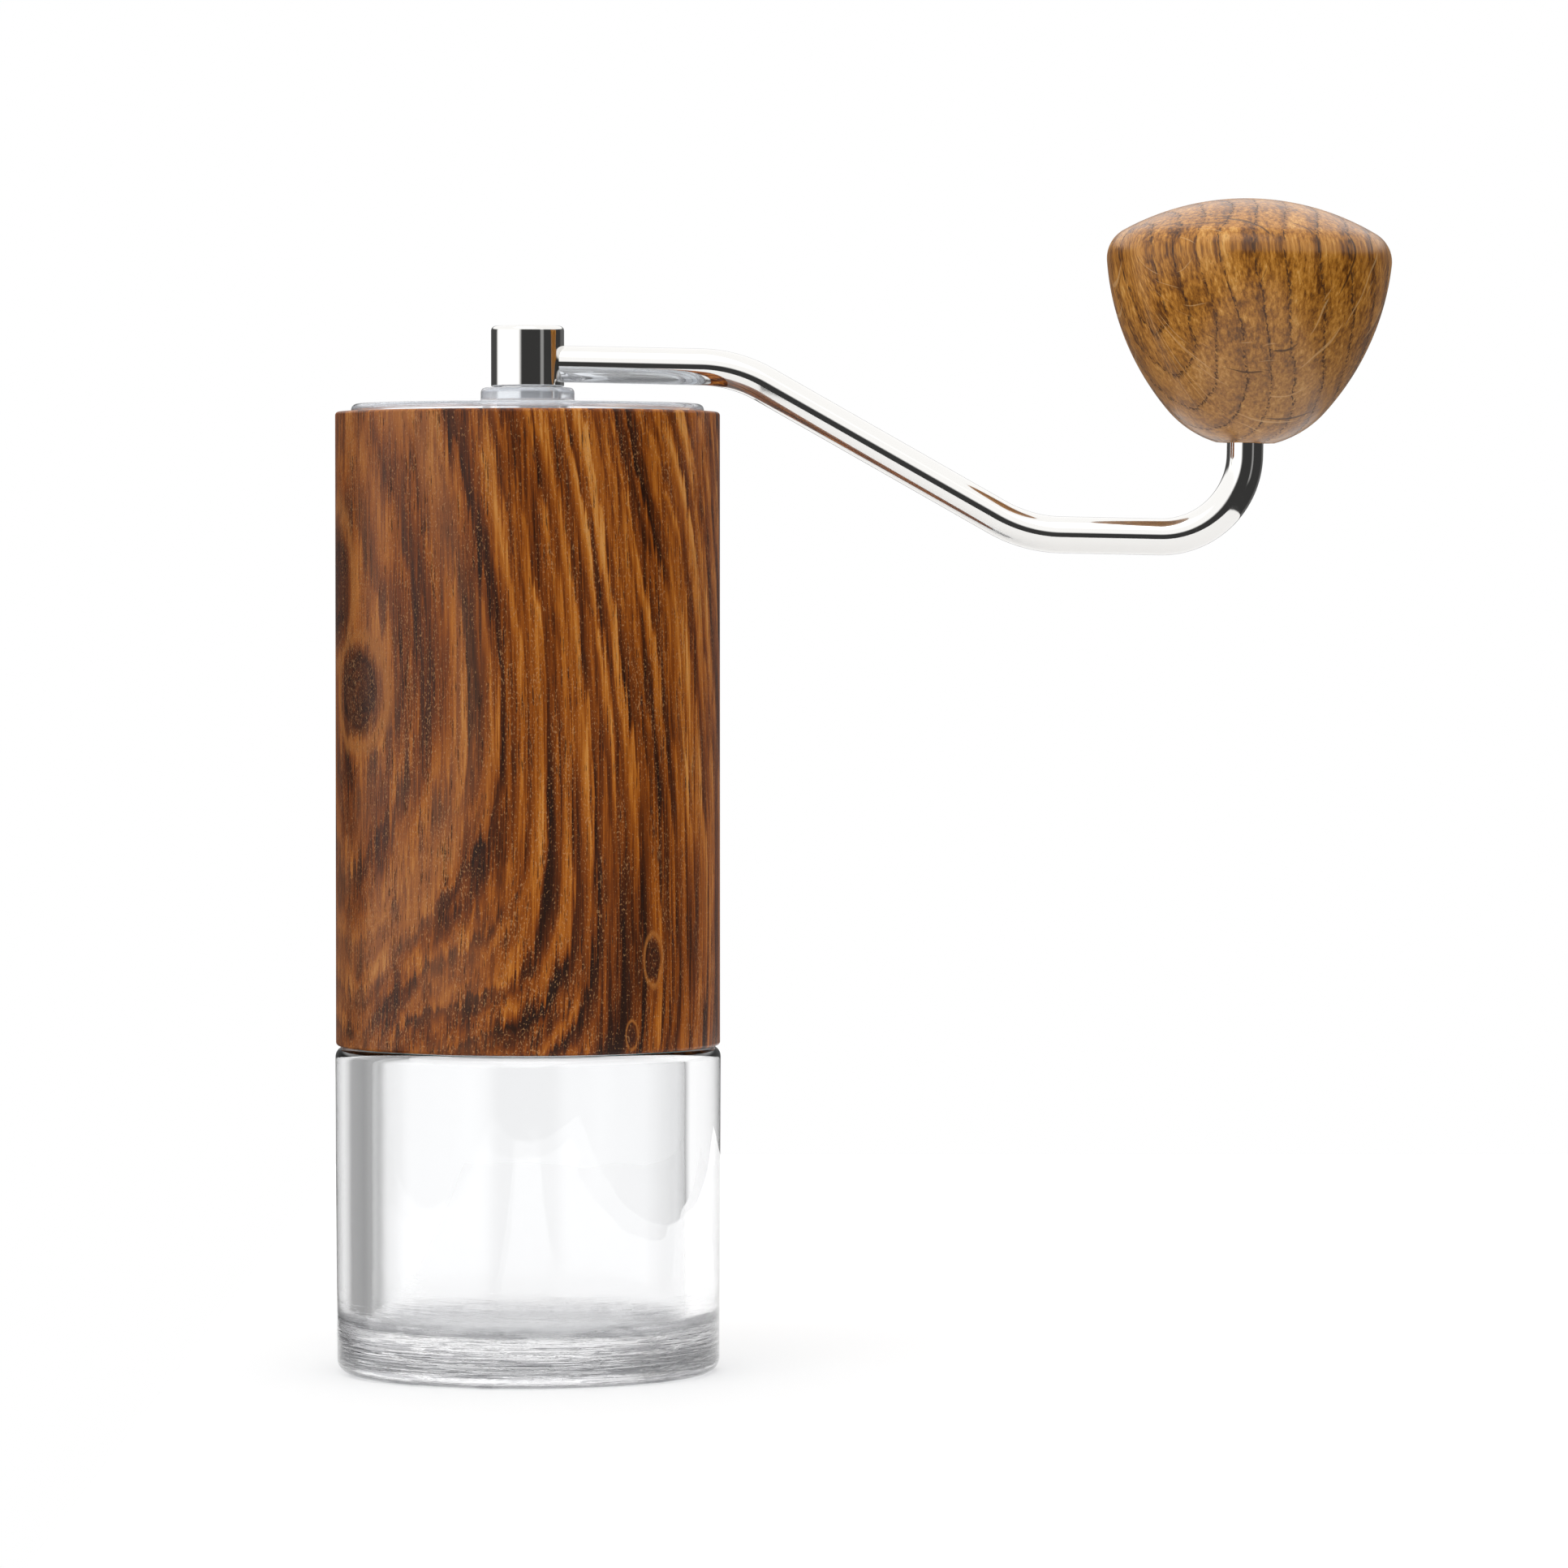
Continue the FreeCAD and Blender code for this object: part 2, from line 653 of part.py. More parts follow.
# ---------------------------------------------------------------- shaft and what sits on it
def make_drive_shaft():
    """Shaft with a shoulder between its bearings, clip grooves, a pin hole and a hexagonal head."""
    shoulder_base = "lower_bearing + bearing_width"
    clip_base = "upper_bearing + bearing_width + 0.1"
    neck = "shaft_radius - 0.5"
    turned_shaft = turned("shaft_turned", [
        ("0", "shaft_base"), ("shaft_radius", "shaft_base"), ("shaft_radius", "stop_clip_base"),
        (neck, "stop_clip_base"), (neck, "stop_clip_base + clip_height"),
        ("shaft_radius", "stop_clip_base + clip_height"), ("shaft_radius", shoulder_base),
        ("shaft_shoulder_radius", shoulder_base), ("shaft_shoulder_radius", "upper_bearing"),
        ("shaft_radius", "upper_bearing"), ("shaft_radius", clip_base), (neck, clip_base),
        (neck, f"{clip_base} + clip_height"), ("shaft_radius", f"{clip_base} + clip_height"),
        ("shaft_radius", "hex_base"), ("0", "hex_base")])
    head = solid("Prism", "shaft_hexagon",
                 FreeCAD.Placement(V(0, 0, size("hex_base")), FreeCAD.Rotation()),
                 Circumradius="hex_flats / sqrt(3)", Height="shaft_top - hex_base")
    head.Polygon = 6
    pin_way = solid("Cylinder", "shaft_pin_way",
                    FreeCAD.Placement(V(-size("pin_length") / 2, 0, size("pin_height")),
                                      FreeCAD.Rotation(Y_AXIS, 90)),
                    Radius="pin_radius", Height="pin_length")
    blank = combine("Fuse", "shaft_blank", turned_shaft, head)
    keep("drive_shaft", combine("Cut", "drive_shaft", blank, pin_way))


def make_shaft_fittings():
    """Drive pin, clips, washer and the spring that pushes the cone burr against its dial."""
    keep("drive_pin", solid(
        "Cylinder", "drive_pin",
        FreeCAD.Placement(V(-size("pin_length") / 2, 0, size("pin_height")), FreeCAD.Rotation(Y_AXIS, 90)),
        Radius="pin_radius", Height="pin_length"))
    clip_bore = "shaft_radius - 0.48"
    keep("shaft_circlip", ring("shaft_circlip", clip_bore, "inner_race_land",
                               "upper_bearing + bearing_width + 0.1", "clip_height"))
    keep("dial_stop_clip", ring("dial_stop_clip", clip_bore, "inner_race_land",
                                "stop_clip_base", "clip_height"))
    keep("spring_washer", ring("spring_washer", "sliding_bore", "washer_radius",
                               "lower_bearing - washer_height - 0.05", "washer_height"))
    spring = doc.addObject("PartDesign::Body", "preload_spring")
    wire = sketch_on(spring, "spring_wire_section")
    draw_circle(wire, "spring_wire", "spring_radius", "spring_base + spring_wire")
    rise = "(spring_top - spring_base - 2 * spring_wire)"
    wind(spring, "AdditiveHelix", wire, rise, f"{rise} / spring_turns")
    keep("preload_spring", spring)


# ---------------------------------------------------------------- bearings
def make_bearing(which):
    """A shielded ball bearing in its separate pieces. which is lower or upper."""
    base = f"{which}_bearing"
    middle = f"({base} + bearing_width / 2)"

    def race(name, bore, radius):
        body = ring(name, bore, radius, base, "bearing_width")
        track = sketch_on(body, name + "_track")
        draw_circle(track, "ball_radius + ball_play", "ball_circle", middle)
        groove(body, track)
        keep(name, body)

    race(f"{which}_outer_race", "race_land", "race_radius")
    race(f"{which}_inner_race", "race_bore", "inner_race_land")

    keep(f"{which}_balls", group(f"{which}_balls", [
        solid("Sphere", f"{which}_ball_{number}", around("ball_circle", middle, degrees),
              Radius="ball_radius")
        for number, degrees in enumerate(spaced(SIZES["balls"]))]))
    cage = ring(f"{which}_ball_cage", "cage_bore", "cage_radius",
                f"{middle} - cage_height / 2", "cage_height")
    window = sketch_on(cage, f"{which}_ball_window", "YZ_Plane")
    draw_circle(window, "ball_radius + ball_play", "0", middle)
    repeat_round_axis(cage, [pocket(cage, window, "race_radius", upwards=True)], "balls")
    keep(f"{which}_ball_cage", cage)

    land = "race_land - 0.02"
    shields = [
        ring(f"{which}_shield_{side}", "shield_bore", land, height, "shield_height")
        for side, height in (("base", f"{base} + 0.1"),
                             ("top", f"{base} + bearing_width - shield_height - 0.1"))]
    keep(f"{which}_bearing_shields", group(f"{which}_bearing_shields", shields))


# ---------------------------------------------------------------- bridges
def draw_window(sketch):
    """The sector-shaped opening between two spokes."""
    inner, outer, half = "(bridge_hub_radius + 0.2)", "window_radius", "window_half_angle"
    low, high = math.radians(-size(half)), math.radians(size(half))
    for arc, radius in enumerate((outer, inner)):
        circle = Part.Circle(V(0, 0, 0), V(0, 0, 1), size(radius))
        sketch.addGeometry(Part.ArcOfCircle(circle, low, high), False)
        sketch.addConstraint(Sketcher.Constraint("Coincident", arc, 3, -1, 1))
        fix_radius(sketch, arc, radius)
    for sign, angle in ((1, high), (-1, low)):
        ends = [V(size(radius) * math.cos(angle), size(radius) * math.sin(angle), 0)
                for radius in (inner, outer)]
        side = sketch.addGeometry(Part.LineSegment(*ends), False)
        arc_end = 2 if sign > 0 else 1
        sketch.addConstraint(Sketcher.Constraint("Coincident", side, 1, 1, arc_end))
        sketch.addConstraint(Sketcher.Constraint("Coincident", side, 2, 0, arc_end))
        fix_distance(sketch, "Y", side, 1, f"{sign} * {inner} * sin({half})")
        fix_distance(sketch, "Y", side, 2, f"{sign} * {outer} * sin({half})")


def make_bridge(name, placement):
    """Three-spoked bridge with a bearing seat, modelled with its closed end at its own origin."""
    bridge = turned(name, [
        ("bridge_lip_bore", "0"), ("bridge_hub_radius", "0"), ("bridge_hub_radius", "web_base"),
        ("frame_radius", "web_base"), ("frame_radius", "web_top"), ("bridge_hub_radius", "web_top"),
        ("bridge_hub_radius", "bridge_height"), ("bridge_seat_radius", "bridge_height"),
        ("bridge_seat_radius", "retainer_base + retainer_height + 0.05"),
        ("retainer_radius + 0.05", "retainer_base + retainer_height + 0.05"),
        ("retainer_radius + 0.05", "retainer_base - 0.05"),
        ("bridge_seat_radius", "retainer_base - 0.05"),
        ("bridge_seat_radius", "bridge_seat"), ("bridge_lip_bore", "bridge_seat")])
    window = sketch_on(bridge, name + "_window", "XY_Plane", "web_top")
    draw_window(window)
    cut = pocket(bridge, window, "web_top - web_base")
    repeat_round_axis(bridge, [cut], 3)
    holes = sketch_on(bridge, name + "_post_holes", "XY_Plane", "web_top")
    for degrees in spaced(3, 60):
        draw_circle(holes, "post_screw_radius", f"post_circle * cos({degrees})",
                    f"post_circle * sin({degrees})")
    pocket(bridge, holes, "web_top - web_base")
    if name == "lower_bridge":
        holes = sketch_on(bridge, "housing_screw_way", "XY_Plane", "web_top")
        for degrees in spaced(3):
            draw_circle(holes, "housing_screw_radius", f"housing_screw_circle * cos({degrees})",
                        f"housing_screw_circle * sin({degrees})")
        pocket(bridge, holes, "web_top - web_base")
    bridge.Placement = placement
    keep(name, bridge)
    retainer = name.replace("bridge", "retaining_ring")
    clip = ring(retainer, "retainer_bore", "retainer_radius", "retainer_base", "retainer_height")
    clip.Placement = placement
    keep(retainer, clip)


def make_posts_and_screws():
    """Three posts between the bridges, and every screw of the frame."""
    low, high = "lower_bridge_top - web_base", "upper_bridge_base + web_base"
    posts, screws = [], []
    for number, degrees in enumerate(spaced(3, 60)):
        place = around("post_circle", low, degrees)
        post = solid("Cylinder", f"post_{number}", place, Radius="post_radius", Height=f"{high} - ({low})")
        upper = around("post_circle", "upper_bridge_base + web_top", degrees)
        lower = around("post_circle", "lower_bridge_top - web_top", degrees).multiply(UPSIDE_DOWN)
        depth = "post_screw_length - web_top + web_base"
        reach = FreeCAD.Placement(V(0, 0, size(f"{high} - ({depth})")), FreeCAD.Rotation())
        top_hole = solid("Cylinder", f"post_top_hole_{number}",
                         reach.multiply(around("post_circle", "0", degrees)),
                         Radius="post_screw_radius", Height=depth)
        base_hole = solid("Cylinder", f"post_base_hole_{number}", place,
                          Radius="post_screw_radius", Height=depth)
        holes = combine("Fuse", f"post_holes_{number}", top_hole, base_hole)
        posts.append(combine("Cut", f"bridge_post_{number}", post, holes))
        for end, spot in (("upper", upper), ("lower", lower)):
            screws.append(screw(f"post_screw_{end}_{number}", "post_screw_head", "post_screw_head_height",
                                "post_screw_radius", "post_screw_length - 0.1", spot))
    keep("bridge_posts", group("bridge_posts", posts))
    keep("post_screws", group("post_screws", screws))

    keep("housing_screws", group("housing_screws", [
        screw(f"housing_screw_{number}", "housing_screw_head", "housing_screw_head_height",
              "housing_screw_radius", "housing_screw_length",
              around("housing_screw_circle", "lower_bridge_top - web_base", degrees))
        for number, degrees in enumerate(spaced(3))]))
    keep("ring_burr_screws", group("ring_burr_screws", [
        screw(f"ring_burr_screw_{number}", "burr_screw_head - 0.03", "burr_screw_head_height",
              "burr_screw_radius", "burr_screw_length",
              around("burr_screw_circle", "floor_base + burr_screw_head_height", degrees)
              .multiply(UPSIDE_DOWN))
        for number, degrees in enumerate(spaced(3, 60))]))


# ---------------------------------------------------------------- lid
def make_lid():
    """Clear lid: a domed disc with a collar round the crank's stem and a skirt with a seal groove."""
    groove_top = "lid_groove_base + lid_groove_height"
    lid = turned("lid", [
        ("lid_bore", "lid_boss_base"), ("lid_boss_radius", "lid_boss_base"),
        ("lid_boss_radius", "lid_ceiling"), ("lid_skirt_bore", "lid_ceiling"),
        ("lid_skirt_bore", "lid_skirt_base"), ("lid_skirt_radius", "lid_skirt_base"),
        ("lid_skirt_radius", "lid_groove_base"), ("lid_groove_radius", "lid_groove_base"),
        ("lid_groove_radius", groove_top), ("lid_skirt_radius", groove_top),
        ("lid_skirt_radius", "lid_rim_base"), ("lid_radius", "lid_rim_base"),
        ("lid_radius", "lid_rim_top"), ("lid_collar_radius", "lid_crown"),
        ("lid_collar_radius", "lid_collar_top"), ("lid_bore", "lid_collar_top")])
    round_edges(lid, "lid_rim_round", [("lid_radius", "lid_rim_top")])
    round_edges(lid, "lid_collar_round", [("lid_collar_radius", "lid_collar_top")])
    keep("lid", lid)
    middle = "lid_groove_base + lid_groove_height / 2"
    keep("lid_seal", solid("Torus", "lid_seal",
                           FreeCAD.Placement(V(0, 0, size(middle)), FreeCAD.Rotation()),
                           Radius1="lid_seal_circle", Radius2="lid_seal_wire"))


# ---------------------------------------------------------------- crank
ARM_FRAME = FreeCAD.Placement(V(0, 0, size("arm_height")), FreeCAD.Rotation(Y_AXIS, size("arm_droop")))
KNOB_FRAME = ARM_FRAME.multiply(
    FreeCAD.Placement(V(size("crank_reach"), 0, -size("knob_drop")), FreeCAD.Rotation()))


def rounded_route(points, bends):
    """A wire through points, with an arc of the given radius at each inner point."""
    edges = []
    start = points[0]
    for before, corner, after, radius in zip(points, points[1:], points[2:], bends):
        into = (corner - before).normalize()
        out = (after - corner).normalize()
        turn = into.getAngle(out)
        cut = radius * math.tan(turn / 2)
        entry, leave = corner - into * cut, corner + out * cut
        towards_centre = (out - into).normalize()
        middle = corner + towards_centre * (radius / math.cos(turn / 2) - radius)
        edges.append(Part.LineSegment(start, entry).toShape())
        edges.append(Part.Arc(entry, middle, leave).toShape())
        start = leave
    edges.append(Part.LineSegment(start, points[-1]).toShape())
    return Part.Wire(edges)


def make_crank_hub():
    """Hub and stem in one: a hexagonal socket below, and a cross bore that the arm is pressed into."""
    groove_top = "stem_groove_base + stem_groove_height"
    hub = turned("crank_hub_turned", [
        ("0", "stem_base"), ("stem_radius", "stem_base"), ("stem_radius", "stem_groove_base"),
        ("stem_groove_radius", "stem_groove_base"), ("stem_groove_radius", groove_top),
        ("stem_radius", groove_top), ("stem_radius", "hub_base"), ("hub_radius", "hub_base"),
        ("hub_radius", "hub_top"), ("0", "hub_top")])
    round_edges(hub, "hub_round", [("hub_radius", "hub_top")])
    socket = solid("Prism", "crank_socket",
                   FreeCAD.Placement(V(0, 0, size("stem_base")), FreeCAD.Rotation()),
                   Circumradius="(hex_flats + hex_play) / sqrt(3)", Height="socket_top - stem_base")
    socket.Polygon = 6
    cross_bore = solid("Cylinder", "crank_cross_bore",
                       ARM_FRAME.multiply(FreeCAD.Placement(V(size("arm_root - 0.1"), 0, 0),
                                                            FreeCAD.Rotation(Y_AXIS, 90))),
                       Radius="arm_radius + arm_play", Height="2 * hub_radius")
    keep("crank_hub", combine("Cut", "crank_hub", combine("Cut", "crank_hub_bored", hub, socket), cross_bore))
    keep("lid_clip", ring("lid_clip", "stem_groove_radius + 0.03", "lid_clip_radius",
                          "stem_groove_base + 0.05", "stem_groove_height - 0.1"))


def make_crank_rod():
    """Bent round bar from the hub to the knob, with a groove near its tip for the snap ring."""
    corners = [V(size("arm_root"), 0, 0), V(size("elbow_reach"), 0, 0),
               V(size("knee_reach"), 0, -size("arm_drop")),
               V(size("crank_reach"), 0, -size("arm_drop")), V(size("crank_reach"), 0, size("arm_tip"))]
    bends = [size("elbow_bend"), size("elbow_bend"), size("wrist_bend")]
    route = doc.addObject("Part::Feature", "crank_rod_route")
    route.Shape = rounded_route(corners, bends)
    section = solid("Circle", "crank_rod_section",
                    FreeCAD.Placement(corners[0], FreeCAD.Rotation(Y_AXIS, 90)), Radius="arm_radius")
    bar = doc.addObject("Part::Sweep", "crank_rod_bar")
    bar.Sections = [section]
    bar.Spine = (route, [])
    bar.Solid = True
    doc.recompute()
    expected = math.pi * size("arm_radius") ** 2 * route.Shape.Length
    if abs(bar.Shape.Volume / expected - 1) > 0.01:
        raise RuntimeError(f"the crank rod holds {bar.Shape.Volume:.0f} mm3 and not {expected:.0f}")
    snap_groove = ring("crank_rod_groove", "snap_groove_radius", "arm_radius + 1", "snap_base", "snap_height")
    snap_groove.Placement = FreeCAD.Placement(
        V(size("crank_reach"), 0, -size("knob_drop")), FreeCAD.Rotation())
    rod = combine("Cut", "crank_rod", bar, snap_groove)
    rod.Placement = ARM_FRAME
    keep("crank_rod", rod)
    snap = ring("knob_snap_ring", "snap_groove_radius + 0.03", "snap_radius",
                "snap_base + 0.05", "snap_height - 0.1")
    snap.Placement = KNOB_FRAME
    keep("knob_snap_ring", snap)


# ---------------------------------------------------------------- knob
def knob_arc_centres():
    """Centres of the knob's four tangent arcs: nose, side, shoulder and crown."""
    nose, side = size("knob_nose_bend"), size("knob_side_bend")
    shoulder, crown = size("knob_shoulder_bend"), size("knob_crown_bend")
    nose_centre = V(0, nose, 0)
    crown_centre = V(0, size("knob_height") - crown, 0)
    across = size("knob_radius") - shoulder
    shoulder_centre = V(across, crown_centre.y + math.sqrt((crown - shoulder) ** 2 - across ** 2), 0)
    line = shoulder_centre - nose_centre
    to_nose, to_shoulder = side - nose, side - shoulder
    along = (to_nose ** 2 - to_shoulder ** 2 + line.Length ** 2) / (2 * line.Length)
    aside = math.sqrt(to_nose ** 2 - along ** 2)
    unit = V(line).normalize()
    side_centre = nose_centre + unit * along + V(-unit.y, unit.x, 0) * aside
    return nose_centre, side_centre, shoulder_centre, crown_centre


def draw_knob_outline(sketch):
    """Four arcs, each tangent to the next, from the nose on the axis to the crown on the axis."""
    centres = knob_arc_centres()
    radii = [size("knob_" + part + "_bend") for part in ("nose", "side", "shoulder", "crown")]
    joints = [V(0, 0, 0)]
    for (first, first_radius), (second, second_radius) in zip(
            zip(centres, radii), zip(centres[1:], radii[1:])):
        wide, narrow = (first, second) if first_radius > second_radius else (second, first)
        joints.append(wide + (narrow - wide).normalize() * max(first_radius, second_radius))
    joints.append(V(0, size("knob_height"), 0))
    for centre, radius, start, end in zip(centres, radii, joints, joints[1:]):
        low = math.atan2(start.y - centre.y, start.x - centre.x)
        high = math.atan2(end.y - centre.y, end.x - centre.x)
        sketch.addGeometry(Part.ArcOfCircle(Part.Circle(centre, V(0, 0, 1), radius), low, high), False)
    axis = sketch.addGeometry(Part.LineSegment(joints[-1], joints[0]), False)
    for arc in range(3):
        sketch.addConstraint(Sketcher.Constraint("Tangent", arc, 2, arc + 1, 1))
    for arc, part in enumerate(("nose", "side", "shoulder", "crown")):
        fix_radius(sketch, arc, f"knob_{part}_bend")
    sketch.addConstraint(Sketcher.Constraint("Coincident", 3, 2, axis, 1))
    sketch.addConstraint(Sketcher.Constraint("Coincident", axis, 2, 0, 1))
    sketch.addConstraint(Sketcher.Constraint("Coincident", axis, 2, -1, 1))
    for arc in (0, 3):
        sketch.addConstraint(Sketcher.Constraint("PointOnObject", arc, 3, -2))
    fix_point(sketch, axis, 1, "0", "knob_height")
    fix_distance(sketch, "X", 2, 3, "knob_radius - knob_shoulder_bend")


def make_knob():
    """Turned wooden knob that spins on the arm's tip, with the bush pressed into it."""
    knob = doc.addObject("PartDesign::Body", "knob")
    outline = sketch_on(knob, "knob_outline")
    draw_knob_outline(outline)
    revolution = knob.newObject("PartDesign::Revolution", "knob_turned")
    revolution.Profile = outline
    revolution.ReferenceAxis = (outline, ["V_Axis"])
    revolution.Angle = 360
    doc.recompute()
    bore = sketch_on(knob, "knob_bore_circle", "XY_Plane")
    draw_circle(bore, "knob_bore")
    pocket(knob, bore, "knob_bore_depth", upwards=True)
    knob.Placement = KNOB_FRAME
    keep("knob", knob)
    bush = ring("knob_bush", "bush_bore", "bush_radius", "bush_base", "bush_top - bush_base")
    bush.Placement = KNOB_FRAME
    keep("knob_bush", bush)


# ---------------------------------------------------------------- build, check and write
def make_everything():
    make_jar()
    make_jar_seal()
    make_wood_sleeve()
    make_liner_tube()
    make_burr_housing()
    make_ring_burr()
    make_cone_burr()
    make_click_pieces()
    make_adjusting_dial()
    make_drive_shaft()
    make_shaft_fittings()
    make_bearing("lower")
    make_bearing("upper")
    make_bridge("upper_bridge", FreeCAD.Placement(V(0, 0, size("upper_bridge_base")), FreeCAD.Rotation()))
    make_bridge("lower_bridge", FreeCAD.Placement(V(0, 0, size("lower_bridge_top")),
                                                  FreeCAD.Rotation(X_AXIS, 180)))
    make_posts_and_screws()
    make_lid()
    make_crank_hub()
    make_crank_rod()
    make_knob()


def check_and_write():
    """Stops on a failed object, an empty shape or a piece in bits, then writes the STEP files."""
    doc.recompute()
    failed = [thing.Label for thing in doc.Objects if {"Invalid", "Error"} & set(thing.State)]
    if failed:
        raise RuntimeError(f"these objects failed: {failed}")
    for name, thing in sub_parts.items():
        if thing.Shape.isNull() or not thing.Shape.isValid() or not thing.Shape.Solids:
            raise RuntimeError(f"{name} has no valid solid")
        if thing.TypeId != "Part::Compound" and len(thing.Shape.Solids) != 1:
            raise RuntimeError(f"{name} is one piece but came out as {len(thing.Shape.Solids)} solids")
    os.makedirs("parts", exist_ok=True)
    for name, thing in sub_parts.items():
        thing.Shape.exportStep(f"parts/{name}.step")
        print(f"{name}: {len(thing.Shape.Solids)} solid(s), {thing.Shape.Volume:.1f} mm3")
    print(f"{len(sub_parts)} sub-parts written")


make_everything()
check_and_write()
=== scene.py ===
# %% [markdown]
# # A hand coffee grinder in figured wood, polished steel and clear glass
#
# This notebook dresses an engineering model of a hand grinder. The model already has every
# working part in its right place: burrs, bearings, shaft, screws. What it lacks is how the
# real thing looks and feels: the turned wood with its knots, the thick jar that bends the
# light, the mirror polish on the crank.
#
# We begin by loading the engineering model as a fixed frame. Nothing in it is ever moved. A
# visible part is either given a better finish, or hidden and replaced by a finer surface of
# the same size that rides on the same moving body.

# %% Load the frame and measure it
import json
import math

import bpy
import numpy as np
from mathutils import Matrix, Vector


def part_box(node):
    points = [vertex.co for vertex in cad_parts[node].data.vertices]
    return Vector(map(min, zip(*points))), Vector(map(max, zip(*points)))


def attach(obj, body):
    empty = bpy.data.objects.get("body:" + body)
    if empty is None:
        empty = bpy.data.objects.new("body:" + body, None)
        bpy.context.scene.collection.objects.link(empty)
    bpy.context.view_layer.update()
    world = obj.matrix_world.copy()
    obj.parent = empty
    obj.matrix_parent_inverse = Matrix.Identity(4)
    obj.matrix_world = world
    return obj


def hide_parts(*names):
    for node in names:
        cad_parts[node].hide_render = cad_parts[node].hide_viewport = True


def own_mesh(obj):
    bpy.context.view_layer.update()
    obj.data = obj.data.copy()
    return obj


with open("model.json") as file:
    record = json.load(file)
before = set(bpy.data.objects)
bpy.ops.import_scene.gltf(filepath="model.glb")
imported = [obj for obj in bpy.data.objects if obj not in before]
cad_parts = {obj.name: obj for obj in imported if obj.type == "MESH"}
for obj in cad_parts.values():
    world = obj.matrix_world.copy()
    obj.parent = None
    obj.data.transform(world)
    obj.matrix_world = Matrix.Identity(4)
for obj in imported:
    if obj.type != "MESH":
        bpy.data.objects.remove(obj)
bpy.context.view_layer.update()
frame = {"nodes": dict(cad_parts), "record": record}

# %% [markdown]
# Lengths on a small product are easiest to think about in millimetres, while Blender works
# in metres. So every shape below is worked out in millimetres and scaled once, at the moment
# it becomes a mesh. `reach` asks the frame how far a part extends, in millimetres. For a
# part turned about the Z axis, half its width is its radius.

# %% Millimetres, and the reach of a part
MM = 0.001


def reach(node):
    """Lowest and highest corner of a part, as arrays in millimetres."""
    low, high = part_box(node)
    return np.array(low) / MM, np.array(high) / MM


def radius_of(node):
    """Half a part's width across X."""
    low, high = reach(node)
    return (high[0] - low[0]) / 2


for part in ("jar", "wood_sleeve", "lid"):
    print(part, "radius", round(radius_of(part), 2), "mm")

# %% [markdown]
# ## The camera
#
# The grinder is seen from the front with a long lens, from just above the middle of its
# height, so its upright lines stay upright. The camera comes first because it tells us which
# details will be seen large. A far camera with a long lens draws things almost without
# perspective, which is how small products are usually shown.

# %% Camera at eye level with a long lens
EYE = Vector((0.040, -1.204, 0.124))     # metres
TILT_DOWN = 1.53                          # degrees
LENS = 177.0                              # millimetres, on a sensor 36 mm wide

camera_data = bpy.data.cameras.new("product_camera")
camera_data.lens = LENS
camera_data.sensor_width = 36.0
camera_data.clip_start, camera_data.clip_end = 0.05, 50.0
camera = bpy.data.objects.new("product_camera", camera_data)
camera.location = EYE
camera.rotation_euler = (math.radians(90 - TILT_DOWN), 0, 0)
bpy.context.scene.collection.objects.link(camera)
bpy.context.scene.camera = camera
print("camera", round(EYE.length, 2), "m away, lens", LENS, "mm")

# %% [markdown]
# ## Writing shader maths as ordinary sums
#
# Blender's shaders are graphs of nodes. Drawing a graph by hand is fine for three nodes and
# painful for thirty. A `Term` wraps one socket of a graph and understands plus, minus, times
# and divide, so a sum written in Python adds the Math nodes that compute it. `Graph.node`
# makes any other kind of node: first its settings, then what goes into its sockets.


# %% A socket that can be used in a sum
class Term:
    """One socket of a shader graph, holding a number that may change over the surface."""

    def __init__(self, graph, socket):
        self.graph, self.socket = graph, socket

    def _maths(self, operation, first, second):
        return self.graph.node("ShaderNodeMath", {"operation": operation}, {0: first, 1: second})

    def __add__(self, other):
        return self._maths("ADD", self, other)

    def __sub__(self, other):
        return self._maths("SUBTRACT", self, other)

    def __rsub__(self, other):
        return self._maths("SUBTRACT", other, self)

    def __mul__(self, other):
        return self._maths("MULTIPLY", self, other)

    def __truediv__(self, other):
        return self._maths("DIVIDE", self, other)

    def __rtruediv__(self, other):
        return self._maths("DIVIDE", other, self)

    __radd__ = __add__
    __rmul__ = __mul__


